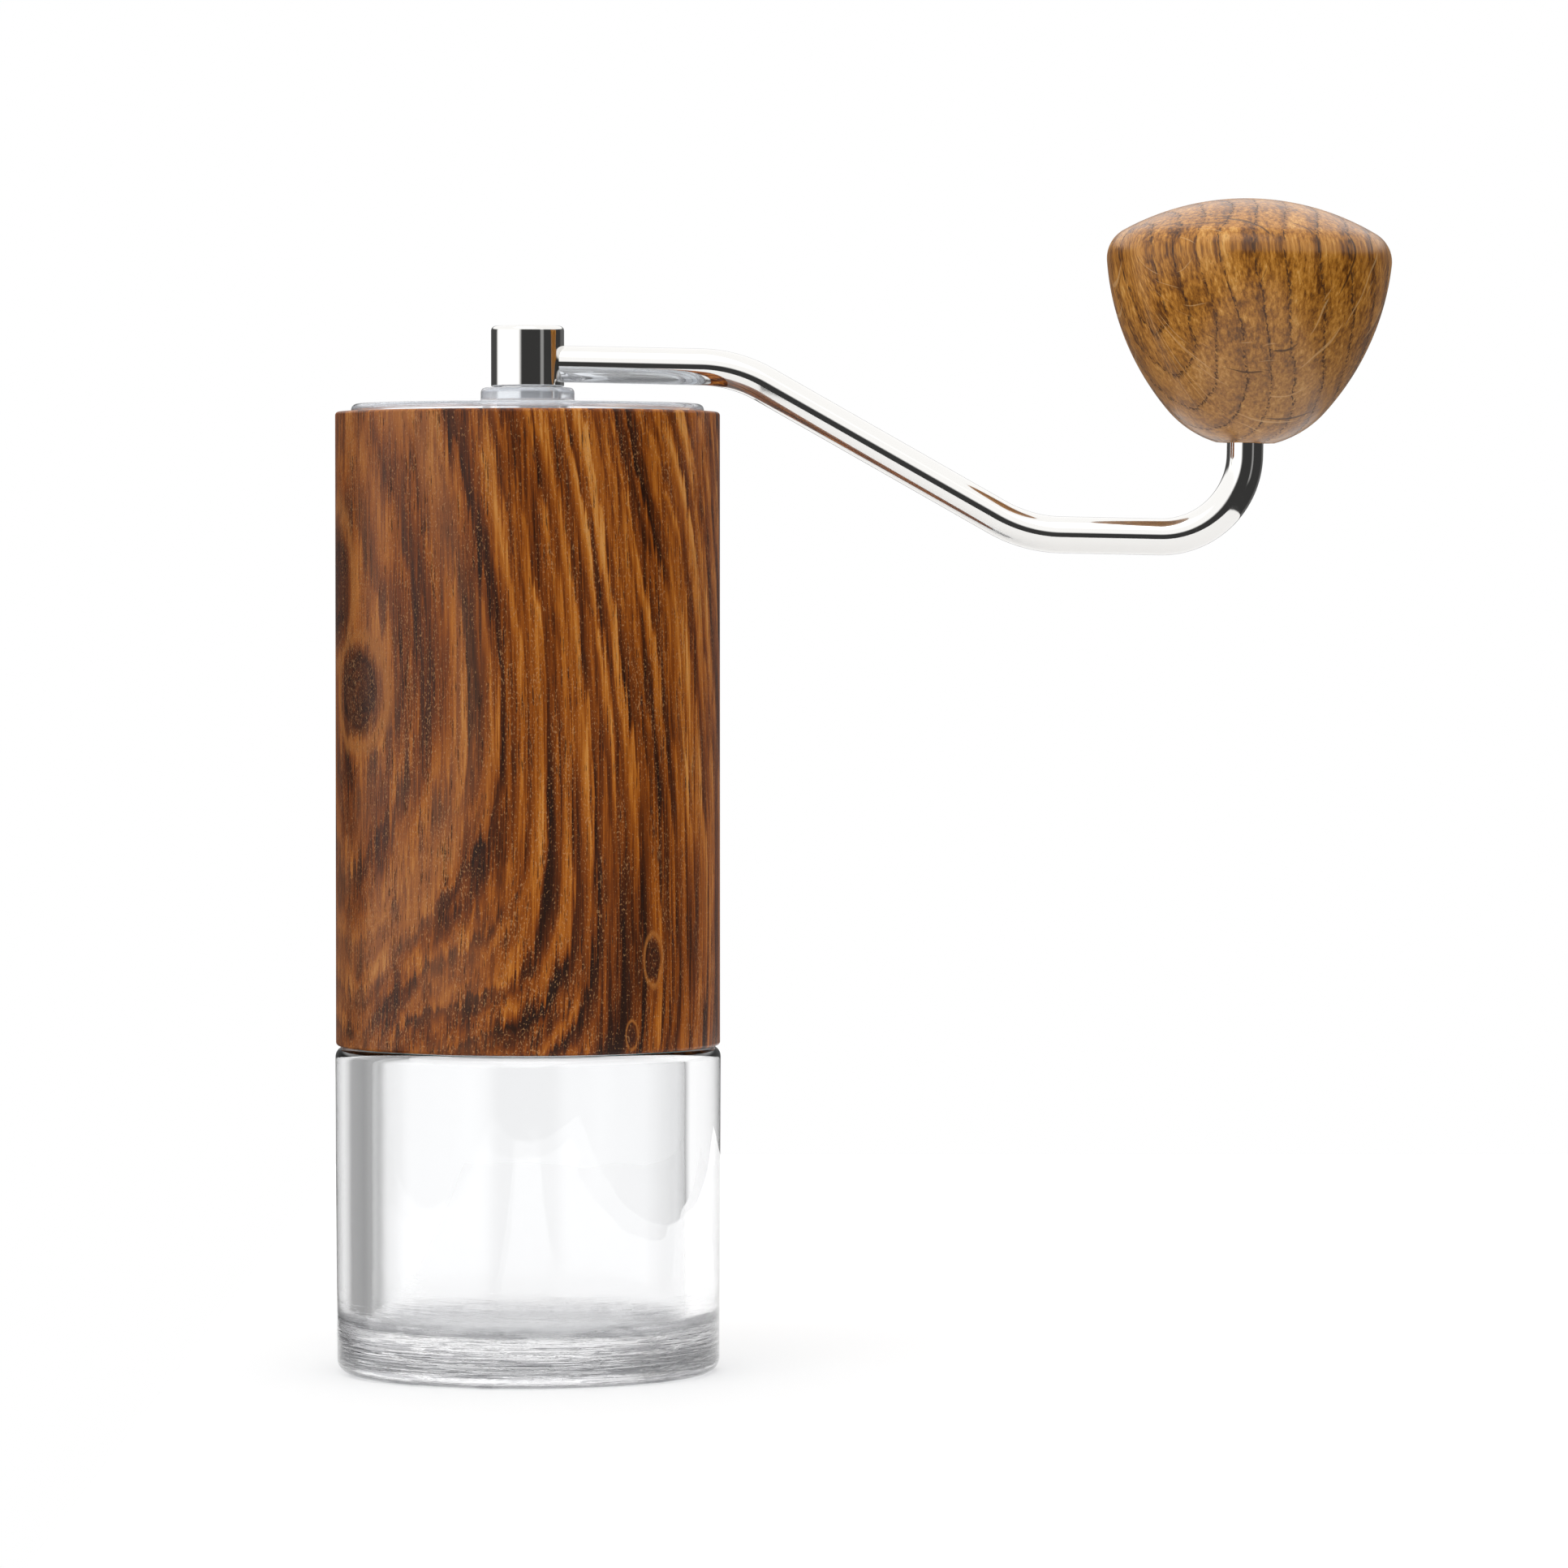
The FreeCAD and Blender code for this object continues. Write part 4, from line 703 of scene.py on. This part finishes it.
# %% The crank arm
def bar(line, radius, columns=64, bevel=0.4):
    """A round bar along a flat line, closed by a bevelled, flat end at each side.

    Each point is the line's point plus radius times (cos a along Y, sin a along the in-plane
    normal). The ends shrink the radius to zero at the same place, after a small bevel.
    """
    heading = np.gradient(line, axis=0)
    heading /= np.linalg.norm(heading, axis=1)[:, None]
    line = np.concatenate([line[:1], line[:1], line[:1] + heading[:1] * bevel, line[1:-1],
                           line[-1:] - heading[-1:] * bevel, line[-1:], line[-1:]])
    heading = np.concatenate([heading[:1]] * 2 + [heading] + [heading[-1:]] * 2)
    radii = np.full(len(line), radius)
    radii[[0, -1]], radii[[1, -2]] = 0.0, radius - bevel
    angle = np.linspace(0, 2 * math.pi, columns, endpoint=False)
    normal = np.stack([-heading[:, 1], heading[:, 0]], -1)
    flat = line[:, None] + normal[:, None] * (radii[:, None] * np.sin(angle))[..., None]
    grid = arm_frame(flat)
    grid[..., 1] = radii[:, None] * np.cos(angle)
    return grid


piece_from_grid("crank_bar", bar(arm_line, ARM_RADIUS), "crank", polished,
                sharp=35, replaces=["crank_rod"])

# %% [markdown]
# The hub that the bar is pressed into is a short polished post. Below it the stem goes down
# through the lid, with a groove for the clip that keeps the lid, and a hexagonal socket that
# slips onto the shaft. A hexagon is also a radius that depends on the angle: the distance to
# the flat, divided by the cosine of the angle from the middle of that flat.

# %% The hub and its stem
hub_low, hub_high = reach("crank_hub")
HUB_RADIUS, HUB_BASE = 5.7, 153.85
STEM_RADIUS, SOCKET_TOP = 4.8, 152.2
clip_low, clip_high = reach("lid_clip")
SOCKET_FLATS = 5.7
CLIP_GROOVE = 4.25
hub_profile = refined(rounded([
    (0, hub_high[2], 0), (HUB_RADIUS, hub_high[2], 0.75), (HUB_RADIUS, HUB_BASE, 0.25),
    (STEM_RADIUS, HUB_BASE, 0.05), (STEM_RADIUS, clip_high[2] + FIT, 0.05),
    (CLIP_GROOVE, clip_high[2] + FIT, 0.05), (CLIP_GROOVE, clip_low[2] - FIT, 0.05),
    (STEM_RADIUS, clip_low[2] - FIT, 0.05),
    (STEM_RADIUS, hub_low[2], 0.3), (SOCKET_FLATS / 2, hub_low[2], 0.15),
    (SOCKET_FLATS / 2, SOCKET_TOP, 0.1), (0, SOCKET_TOP, 0)], closed=False, steps=8), 1.0, closed=False)
hub_grid = turned(hub_profile, 192)
hub_angle = np.arctan2(hub_grid[..., 1], hub_grid[..., 0])
off_flat = (hub_angle + math.pi / 6) % (math.pi / 3) - math.pi / 6
in_socket = (hub_profile[:, 0] < 3.1) & (hub_profile[:, 1] < SOCKET_TOP + 0.2)
hub_grid[..., :2] *= np.where(in_socket[:, None], 1 / np.cos(off_flat), 1.0)[..., None]
piece_from_grid("crank_post", hub_grid, "crank", polished, sharp=35,
                replaces=["crank_hub"])

# %% [markdown]
# ## The knob
#
# The knob is turned from a different wood, golden and open-pored, with its fibres leaning
# towards the viewer on their way down. So its lower front shows end grain: rows of pores
# mark the growth rings, and fine rays cross them at right angles. Higher up, where the
# surface turns along the fibres, the same rings become upright lines. Again the figure is solid, set out in
# three directions: across the rings, round the rings, and along the fibres.

# %% Directions of the knob's wood
knob_foot = arm_frame(np.array([KNOB_REACH, -KNOB_DROP]))
FIBRE = np.array([0.08, -0.24, -0.97])
FIBRE /= np.linalg.norm(FIBRE)
RING_ACROSS = np.cross(np.array([0, -0.97, 0.24]), FIBRE)
RING_ACROSS /= np.linalg.norm(RING_ACROSS)
RING_ROUND = np.cross(FIBRE, RING_ACROSS)
PITH = knob_foot + np.array([-18.5, -13.0, 24.5])
RAY_RADIUS = 20.0                         # where the spacing of the rays is measured
print("knob's fibres run along", FIBRE.round(2), "and its rings face", RING_ACROSS.round(2))


# %% The golden wood of the knob
def ring_porous_wood():
    material, g = new_material("golden_oiled_wood")
    place = g.millimetres()
    offset = g.node("ShaderNodeVectorMath", {"operation": "SUBTRACT"}, {0: place, 1: tuple(PITH)})
    across, around, along = (g.along(offset, d) for d in (RING_ACROSS, RING_ROUND, FIBRE))
    drift = g.noise(g.vector(across, around, along * 0.4), 0.07, 2.0) - 0.5
    from_pith = g.node("ShaderNodeMath", {"operation": "SQRT"}, {0: across * across + around * around})
    ragged = g.noise(g.vector(across, around, along * 0.12), 1.6, 3.0, 0.6) - 0.5
    ring = from_pith + drift * 5.5 + ragged * 0.7
    turn = g.node("ShaderNodeMath", {"operation": "ARCTAN2"}, {0: around, 1: across})
    turn = turn * RAY_RADIUS + drift * 5.0

    zones = g.noise(g.vector(ring, turn, along * 0.10), 0.13, 2.0) - 0.5
    season = g.node("ShaderNodeMath", {"operation": "FRACT"}, {0: ring * 0.24 + zones * 0.5})
    early = 1 - g.step(season, 0.0, 0.20)
    late = g.step(season, 0.55, 0.97)
    fibres = g.noise(g.vector(across, around, along * 0.035), 1.8, 4.0, 0.70) - 0.5
    streaks = g.noise(g.vector(ring * 1.2, turn * 0.8, along * 0.08), 1.0, 3.0, 0.6) - 0.5
    tone = 0.56 + zones * 0.75 + streaks * 1.00 + fibres * 1.60 - late * 0.20 - early * 0.14
    colour = g.ramp(tone, [
        (0.10, (0.0950, 0.0300, 0.0040)), (0.32, (0.2150, 0.0760, 0.0080)),
        (0.52, (0.3900, 0.1520, 0.0170)), (0.74, (0.5500, 0.2400, 0.0380)),
        (1.00, (0.7200, 0.3900, 0.1050))])
    # Lower down the knob turns paler and greyer: a painted sheen of the pale floor below it.
    painted_floor_sheen = 1 - g.step(g.along(place, (0, 0, 1)), knob_foot[2] + 6.0, knob_foot[2] + 26.0)
    colour = g.blend(painted_floor_sheen * 0.42, colour, (0.300, 0.165, 0.076))

    vessels = g.noise(g.vector(across, around, along * 0.16), 3.0, 1.0, 0.5)
    rows = g.step(vessels + early * 0.14, 0.59, 0.66) * early
    loose = g.step(g.noise(g.vector(across, around, along * 0.10), 4.4, 1.0), 0.64, 0.72)
    colour = g.blend(rows * 0.88, colour, (0.0420, 0.0150, 0.0045))
    colour = g.blend(loose * 0.38, colour, (0.0800, 0.0310, 0.0090))

    rays = g.noise(g.vector(ring * 0.075, turn * 1.9, along * 0.06), 1.0, 1.0, 0.4)
    light_ray = g.step(rays, 0.675, 0.705)
    dark_ray = 1 - g.step(rays, 0.270, 0.300)
    colour = g.blend(light_ray * 0.50, colour, (0.66, 0.40, 0.17))
    colour = g.blend(dark_ray * 0.75, colour, (0.0480, 0.0190, 0.0060))

    relief = 0.5 + fibres * 0.5 - rows * 0.8 - loose * 0.4 - dark_ray * 0.4
    g.finish(Base_Color=colour, Roughness=0.34 + fibres * 0.25 + rows * 0.2,
             Normal=g.bump(relief, 0.05), Coat_Weight=0.45, Coat_Roughness=0.22,
             Specular_IOR_Level=0.15)
    return material


knob_wood = ring_porous_wood()
print("knob wood:", len(knob_wood.node_tree.nodes), "nodes")

# %% [markdown]
# The knob's outline is four arcs, each running smoothly into the next: a round nose below, a
# long flank, a tight shoulder and a broad crown. Two arcs run smoothly into each other when
# their centres and the meeting point are in one line. That rule gives every centre from the
# four radii, the height and the width.

# %% The knob's outline and surface
KNOB_HEIGHT, KNOB_WIDEST = 38.7, 22.2
NOSE, FLANK, SHOULDER, CROWN = 16.3, 41.0, 5.0, 39.5
KNOB_BORE, KNOB_BORE_DEPTH = 4.3, 27.0

nose_centre = np.array([0.0, NOSE])
crown_centre = np.array([0.0, KNOB_HEIGHT - CROWN])
shoulder_out = KNOB_WIDEST - SHOULDER
shoulder_centre = np.array([
    shoulder_out, crown_centre[1] + math.sqrt((CROWN - SHOULDER) ** 2 - shoulder_out ** 2)])
link = shoulder_centre - nose_centre
to_nose, to_shoulder = FLANK - NOSE, FLANK - SHOULDER
part_way = (to_nose ** 2 - to_shoulder ** 2 + link @ link) / (2 * np.linalg.norm(link))
link_unit = link / np.linalg.norm(link)
flank_centre = (nose_centre + link_unit * part_way
                + np.array([-link_unit[1], link_unit[0]]) * math.sqrt(to_nose ** 2 - part_way ** 2))


def arc(centre, radius, start, end, steps):
    """Points of an arc about centre, from the direction of start to the direction of end."""
    first = math.atan2(*(start - centre)[::-1])
    last = math.atan2(*(end - centre)[::-1])
    turn = np.linspace(first, last, steps)
    return centre + radius * np.stack([np.cos(turn), np.sin(turn)], -1)


def meeting(small_centre, small_radius, big_centre):
    """Where a small arc touches a big one: beyond the small centre, seen from the big one."""
    out = small_centre - big_centre
    return small_centre + out / np.linalg.norm(out) * small_radius


nose_flank = meeting(nose_centre, NOSE, flank_centre)
flank_shoulder = meeting(shoulder_centre, SHOULDER, flank_centre)
shoulder_crown = meeting(shoulder_centre, SHOULDER, crown_centre)
bore_edge = np.array([KNOB_BORE, NOSE - math.sqrt(NOSE ** 2 - KNOB_BORE ** 2)])
knob_outline = np.concatenate([
    [[0.0, KNOB_BORE_DEPTH], [KNOB_BORE, KNOB_BORE_DEPTH], [KNOB_BORE, bore_edge[1] + 0.3]],
    arc(nose_centre, NOSE, bore_edge + [0.25, 0.05], nose_flank, 24),
    arc(flank_centre, FLANK, nose_flank, flank_shoulder, 32)[1:],
    arc(shoulder_centre, SHOULDER, flank_shoulder, shoulder_crown, 24)[1:],
    arc(crown_centre, CROWN, shoulder_crown, np.array([0.0, KNOB_HEIGHT]), 32)[1:]])
knob_outline[-1, 0] = 0.0


def along_knob(grid):
    """Stands an upright grid on the knob's foot, leaned over along the knob's axis."""
    lean = np.array([[math.cos(DROOP), 0, math.sin(DROOP)], [0, 1, 0],
                     [-math.sin(DROOP), 0, math.cos(DROOP)]])
    return grid @ lean.T + knob_foot


piece_from_grid("turned_knob", along_knob(turned(knob_outline, 256)), "knob",
                knob_wood, replaces=["knob"])

# %% [markdown]
# ## The burrs
#
# The two burrs do the work. The turning cone has broad flutes above that crack the beans and
# fine teeth below that cut them to size; the ring round it has matching teeth. All of them
# lean, so that the cone draws the beans down. Each is a cone or funnel whose radius is cut
# back by a saw-tooth wave of the angle, and the wave's phase shifts with height, which is
# what makes the teeth lean.


# %% The two burrs
def saw(turns, sharpness=0.75):
    """A leaning tooth wave from 0 to 1: a slow climb and a quick fall, once a turn."""
    share = turns % 1.0
    return np.where(share < sharpness, share / sharpness, (1 - share) / (1 - sharpness))


def with_teeth(profile, columns, depth_at, lean, count, outwards):
    """Cuts a saw-tooth wave into a turned profile. depth_at gives each row's tooth depth."""
    grid = turned(profile, columns)
    angle = np.arctan2(grid[..., 1], grid[..., 0]) / (2 * math.pi)
    wave = saw(angle * count + lean * (profile[:, 1] - profile[:, 1].min())[:, None])
    cut = depth_at[:, None] * wave * (-1 if outwards else 1)
    radius = np.maximum(profile[:, 0][:, None], 1e-9)
    grid[..., :2] *= ((radius + cut) / radius)[..., None]
    return grid


cone_low, cone_high = reach("cone_burr")
WAIST = 67.2
cone_profile = refined(rounded([
    (3.02, cone_low[2], 0.1), (19.35, cone_low[2], 0.15), (17.9, WAIST, 0), (8.0, cone_high[2], 0.4),
    (3.02, cone_high[2], 0.2)], steps=3), 0.7)
on_flank = (cone_profile[:, 0] > 8.3) & (cone_profile[:, 1] > cone_low[2] + 0.05)
fine = np.where(on_flank & (cone_profile[:, 1] < WAIST), 0.85, 0.0)
coarse = np.where(on_flank, np.clip((cone_profile[:, 1] - WAIST + 1.5) / 3.0, 0, 1) * 2.1, 0.0)
CONE_COLUMNS = 720
cone_grid = with_teeth(cone_profile, CONE_COLUMNS, fine, 0.10, 36, True)
flutes = (with_teeth(cone_profile, CONE_COLUMNS, coarse, 0.035, 6, True)
          - turned(cone_profile, CONE_COLUMNS))
cone_grid += flutes

burr_steel = metal("burr_steel", (0.56, 0.56, 0.57), 0.26, grain=0.003, grain_scale=3.0, lathe=0.002,
                   wear=0.10)
piece_from_grid("cone_burr_teeth", cone_grid, "cone_burr", burr_steel,
                rows_wrap=True, sharp=30, replaces=["cone_burr"])

ring_low, ring_high = reach("ring_burr")
ring_radius = radius_of("ring_burr")
ring_profile = refined(rounded([
    (19.7, ring_low[2], 0), (ring_radius, ring_low[2], 0.3), (ring_radius, ring_high[2], 0),
    (17.0, 75.5, 0.3), (18.25, WAIST, 0.2)], steps=3), 0.8)
inner = (ring_profile[:, 0] < 21.0) & (ring_profile[:, 1] > ring_low[2] + 0.05)
fade_up = np.clip((78.0 - ring_profile[:, 1]) / 4.0, 0.25, 1)
ring_grid = with_teeth(ring_profile, 600, np.where(inner, 0.8 * fade_up, 0.0), 0.08, 30, False)
piece_from_grid("ring_burr_teeth", ring_grid, "housing", burr_steel,
                rows_wrap=True, sharp=30, replaces=["ring_burr"])

# %% [markdown]
# ## The preload spring
#
# The spring that pushes the cone burr down gets shorter when the burr is fed up. It is wound
# again here as a smooth wire that rides on the drive shaft, and the length it is pressed to is worked out.
# How far the burr goes is read from the record.

# %% The spring
SPRING_TURNS, SPRING_WIRE = 4.0, 0.5
feed = next(joint for joint in frame["record"]["behaviour"]["joints"] if joint["name"] == "burr_feed")
burr_travel = feed["range_m"][1] / MM


def coil(low, high, outside, wire, turns, columns=20, steps_a_turn=64):
    """A wire wound round the Z axis, with closed ends.

    A point is ((R + w cos b) cos a, (R + w cos b) sin a, z(a) + w sin b), where the height z
    climbs evenly with a, and the wire's radius w is nothing at the very ends.
    """
    climb = np.linspace(0, 1, int(turns * steps_a_turn) + 1)
    climb = np.concatenate([[0.0], climb, [1.0]])
    radii = np.full(len(climb), wire)
    radii[[0, -1]] = 0.0
    around = (climb * turns * 2 * math.pi)[:, None]
    across = np.linspace(0, 2 * math.pi, columns, endpoint=False)[None]
    reach_out = outside - wire + radii[:, None] * np.cos(across)
    height = low + wire + climb[:, None] * (high - low - 2 * wire) + radii[:, None] * np.sin(across)
    return np.stack([reach_out * np.cos(around), reach_out * np.sin(around), height], -1)


spring_low, spring_high = reach("preload_spring")
drawn_wire = metal("drawn_wire", (0.42, 0.41, 0.40), 0.30, grain=0.003, grain_scale=2.0, wear=0.2)
spring = piece_from_grid("wound_spring", coil(spring_low[2], spring_high[2], radius_of("preload_spring"),
                                              SPRING_WIRE, SPRING_TURNS),
                         "drive_shaft", drawn_wire, replaces=["preload_spring"])
spring_length = spring_high[2] - spring_low[2]
1 - burr_travel / spring_length
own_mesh(spring)
print("spring of", round(spring_length, 2), "mm, pressed to", round(spring_length - burr_travel, 2))

# %% [markdown]
# ## Finishes for the working parts
#
# The remaining parts keep their engineering shapes, which are already right, and get the
# finish that such a part has: turned steel with fine rings from the lathe, lapped bearing
# steel, blackened screws, moulded plastic with a faint grain, soft rubber. One table says
# which finish each material slot of the record gets.


# %% Plastics and rubbers
def moulded(name, colour, roughness, grain, scale, sheen=0.0, clear=0.0):
    """A moulded plastic or rubber with a fine grain, grain millimetres deep."""
    material, g = new_material(name)
    place = g.millimetres()
    texture = g.noise(place, scale, 3.0, 0.6)
    cloud = g.noise(place, 0.12, 2.0)
    shade = g.blend(cloud, tuple(c * 0.82 for c in colour), tuple(min(1, c * 1.2) for c in colour))
    g.finish(Base_Color=shade, Roughness=roughness + (texture - 0.5) * 0.15,
             Normal=g.bump(texture, grain), Sheen_Weight=sheen, Transmission_Weight=clear)
    return material


finishes = {
    "tube_steel": metal("brushed_tube", (0.62, 0.62, 0.62), 0.24, lathe=0.002, wear=0.08),
    "machined_steel": metal("turned_steel", (0.60, 0.60, 0.61), 0.22, lathe=0.003, wear=0.10),
    "burr_steel": burr_steel,
    "bearing_steel": metal("lapped_steel", (0.74, 0.75, 0.77), 0.09, grain=0.0006, wear=0.05),
    "spring_steel": drawn_wire,
    "black_fastener": metal("black_oxide", (0.045, 0.045, 0.05), 0.38, grain=0.004, grain_scale=4.0,
                            wear=0.25),
    "bridge_alloy": metal("machined_alloy", (0.72, 0.73, 0.74), 0.30, lathe=0.004, wear=0.10),
    "dial_alloy": metal("dial_alloy", (0.66, 0.67, 0.68), 0.27, lathe=0.004, wear=0.12),
    "bush_bronze": metal("oiled_bronze", (0.62, 0.42, 0.20), 0.34, grain=0.006, grain_scale=2.5, wear=0.3),
    "polished_steel": polished,
    "frame_grey": moulded("glass_filled_plastic", (0.085, 0.088, 0.092), 0.52, 0.010, 2.5),
    "cage_polymer": moulded("bearing_cage_plastic", (0.46, 0.30, 0.13), 0.45, 0.006, 3.0),
    "seal_rubber": moulded("jar_seal_rubber", (0.030, 0.24, 0.25), 0.55, 0.012, 3.0, sheen=0.2),
    "lid_seal_rubber": moulded("lid_seal_silicone", (0.74, 0.77, 0.78), 0.35, 0.006, 3.0, clear=0.55),
    "wood": sleeve_wood,
    "knob_wood": knob_wood,
    "jar_clear": jar_glass,
    "lid_clear": lid_plastic,
}
slot_of = {row["node"]: row["material_slot"] for row in frame["record"]["subparts"]}
for node, part in frame["nodes"].items():
    for place_on_part in part.material_slots:
        place_on_part.material = finishes[slot_of[node]]
print(len(frame["nodes"]), "parts finished with", len(finishes), "materials")

# %% [markdown]
# ## Floor and light
#
# A pale table top, and a soft studio round it. The studio is painted on the sky rather than
# built from lamps: a bright ceiling with a softbox in it, a tall soft panel at the left, and
# the dark of the room low down in front and at the right. Diffuse wood only feels their sum.
# Polished steel shows each of them, and that is what gives the crank its crisp dark line: it
# is the dark band of the room between the ceiling and the table's near edge.
#
# Seen directly, the backdrop is plain white. Through the jar it is bright behind and dimmer
# at the far left, and the table stops close by at that side. The jar's curved wall bends the
# view past that edge, which draws the grey upright band in the glass.

# %% The floor
FLOOR_LEFT, FLOOR_RIGHT, FLOOR_FRONT, FLOOR_BACK = -0.055, 0.30, -0.50, 0.45     # metres
floor_mesh = bpy.data.meshes.new("floor")
floor_mesh.from_pydata([(FLOOR_LEFT, FLOOR_FRONT, 0), (FLOOR_RIGHT, FLOOR_FRONT, 0),
                        (FLOOR_RIGHT, FLOOR_BACK, 0), (FLOOR_LEFT, FLOOR_BACK, 0)], [], [(0, 1, 2, 3)])
floor = bpy.data.objects.new("floor", floor_mesh)
floor_material, floor_graph = new_material("pale_floor")
floor_graph.finish(Base_Color=(0.86, 0.86, 0.86, 1.0), Roughness=0.75)
floor_mesh.materials.append(floor_material)
bpy.context.scene.collection.objects.link(floor)
print("floor laid")


# %% The studio sky
# brightness of each light
CEILING, SOFTBOX, LEFT_PANEL, STRIP = 1.16, 1.20, 1.35, 0.28
BACKDROP, FAR_LEFT, ROOM = 1.10, 0.33, 0.045
HELD_BACK = 0.92                          # share of the backdrop that a mirror doesn't show


def studio(world):
    """Brightness of the studio by direction.

    turn is the angle round from the front, in degrees, positive to the right, and up is the
    height above the horizon. A panel is a product of smooth steps in both.
    """
    g = Graph(world)
    direction = g.node("ShaderNodeTexCoord", output=0)
    x, y, z = (g.along(direction, axis) for axis in np.eye(3))
    turn = g.node("ShaderNodeMath", {"operation": "ARCTAN2"}, {0: x, 1: y * -1.0}) * (180 / math.pi)
    up = g.node("ShaderNodeMath", {"operation": "ARCSINE"}, {0: z}) * (180 / math.pi)

    def panel(left, right, bottom, top, soft):
        return (g.step(turn, left - soft, left + soft) * (1 - g.step(turn, right - soft, right + soft))
                * g.step(up, bottom - soft, bottom + soft) * (1 - g.step(up, top - soft, top + soft)))

    overhead = g.step(up, 10.0, 19.0)
    ceiling = overhead * CEILING + panel(-55, 35, 48, 80, 8) * SOFTBOX
    left_panel = panel(-109, -22, -12, 40, 7) * LEFT_PANEL
    strip = panel(43, 54, -12, 24, 2) * STRIP
    level = ROOM + ceiling + left_panel * (1 - overhead) + strip
    behind = g.step(turn, 122.0, 136.0) + 1 - g.step(turn, -168.0, -150.0)
    backdrop = behind * (1 - overhead)
    glossy, reflected = (g.node("ShaderNodeLightPath", output=kind) for kind in (3, 5))
    far_left = panel(-160, -104, -95, 20, 5) * FAR_LEFT
    level = level + (backdrop * BACKDROP + far_left) * (1 - glossy * reflected * HELD_BACK)
    seen = g.node("ShaderNodeLightPath", output=0)
    level = level * (1 - seen) + seen
    background = g.node("ShaderNodeBackground", None, {"Color": (1, 1, 1, 1), "Strength": level})
    g.node("ShaderNodeOutputWorld", None, {"Surface": background})


scene = bpy.context.scene
scene.world = bpy.data.worlds.new("studio")
studio(scene.world)
scene.view_settings.view_transform = "Standard"
print("studio lit")
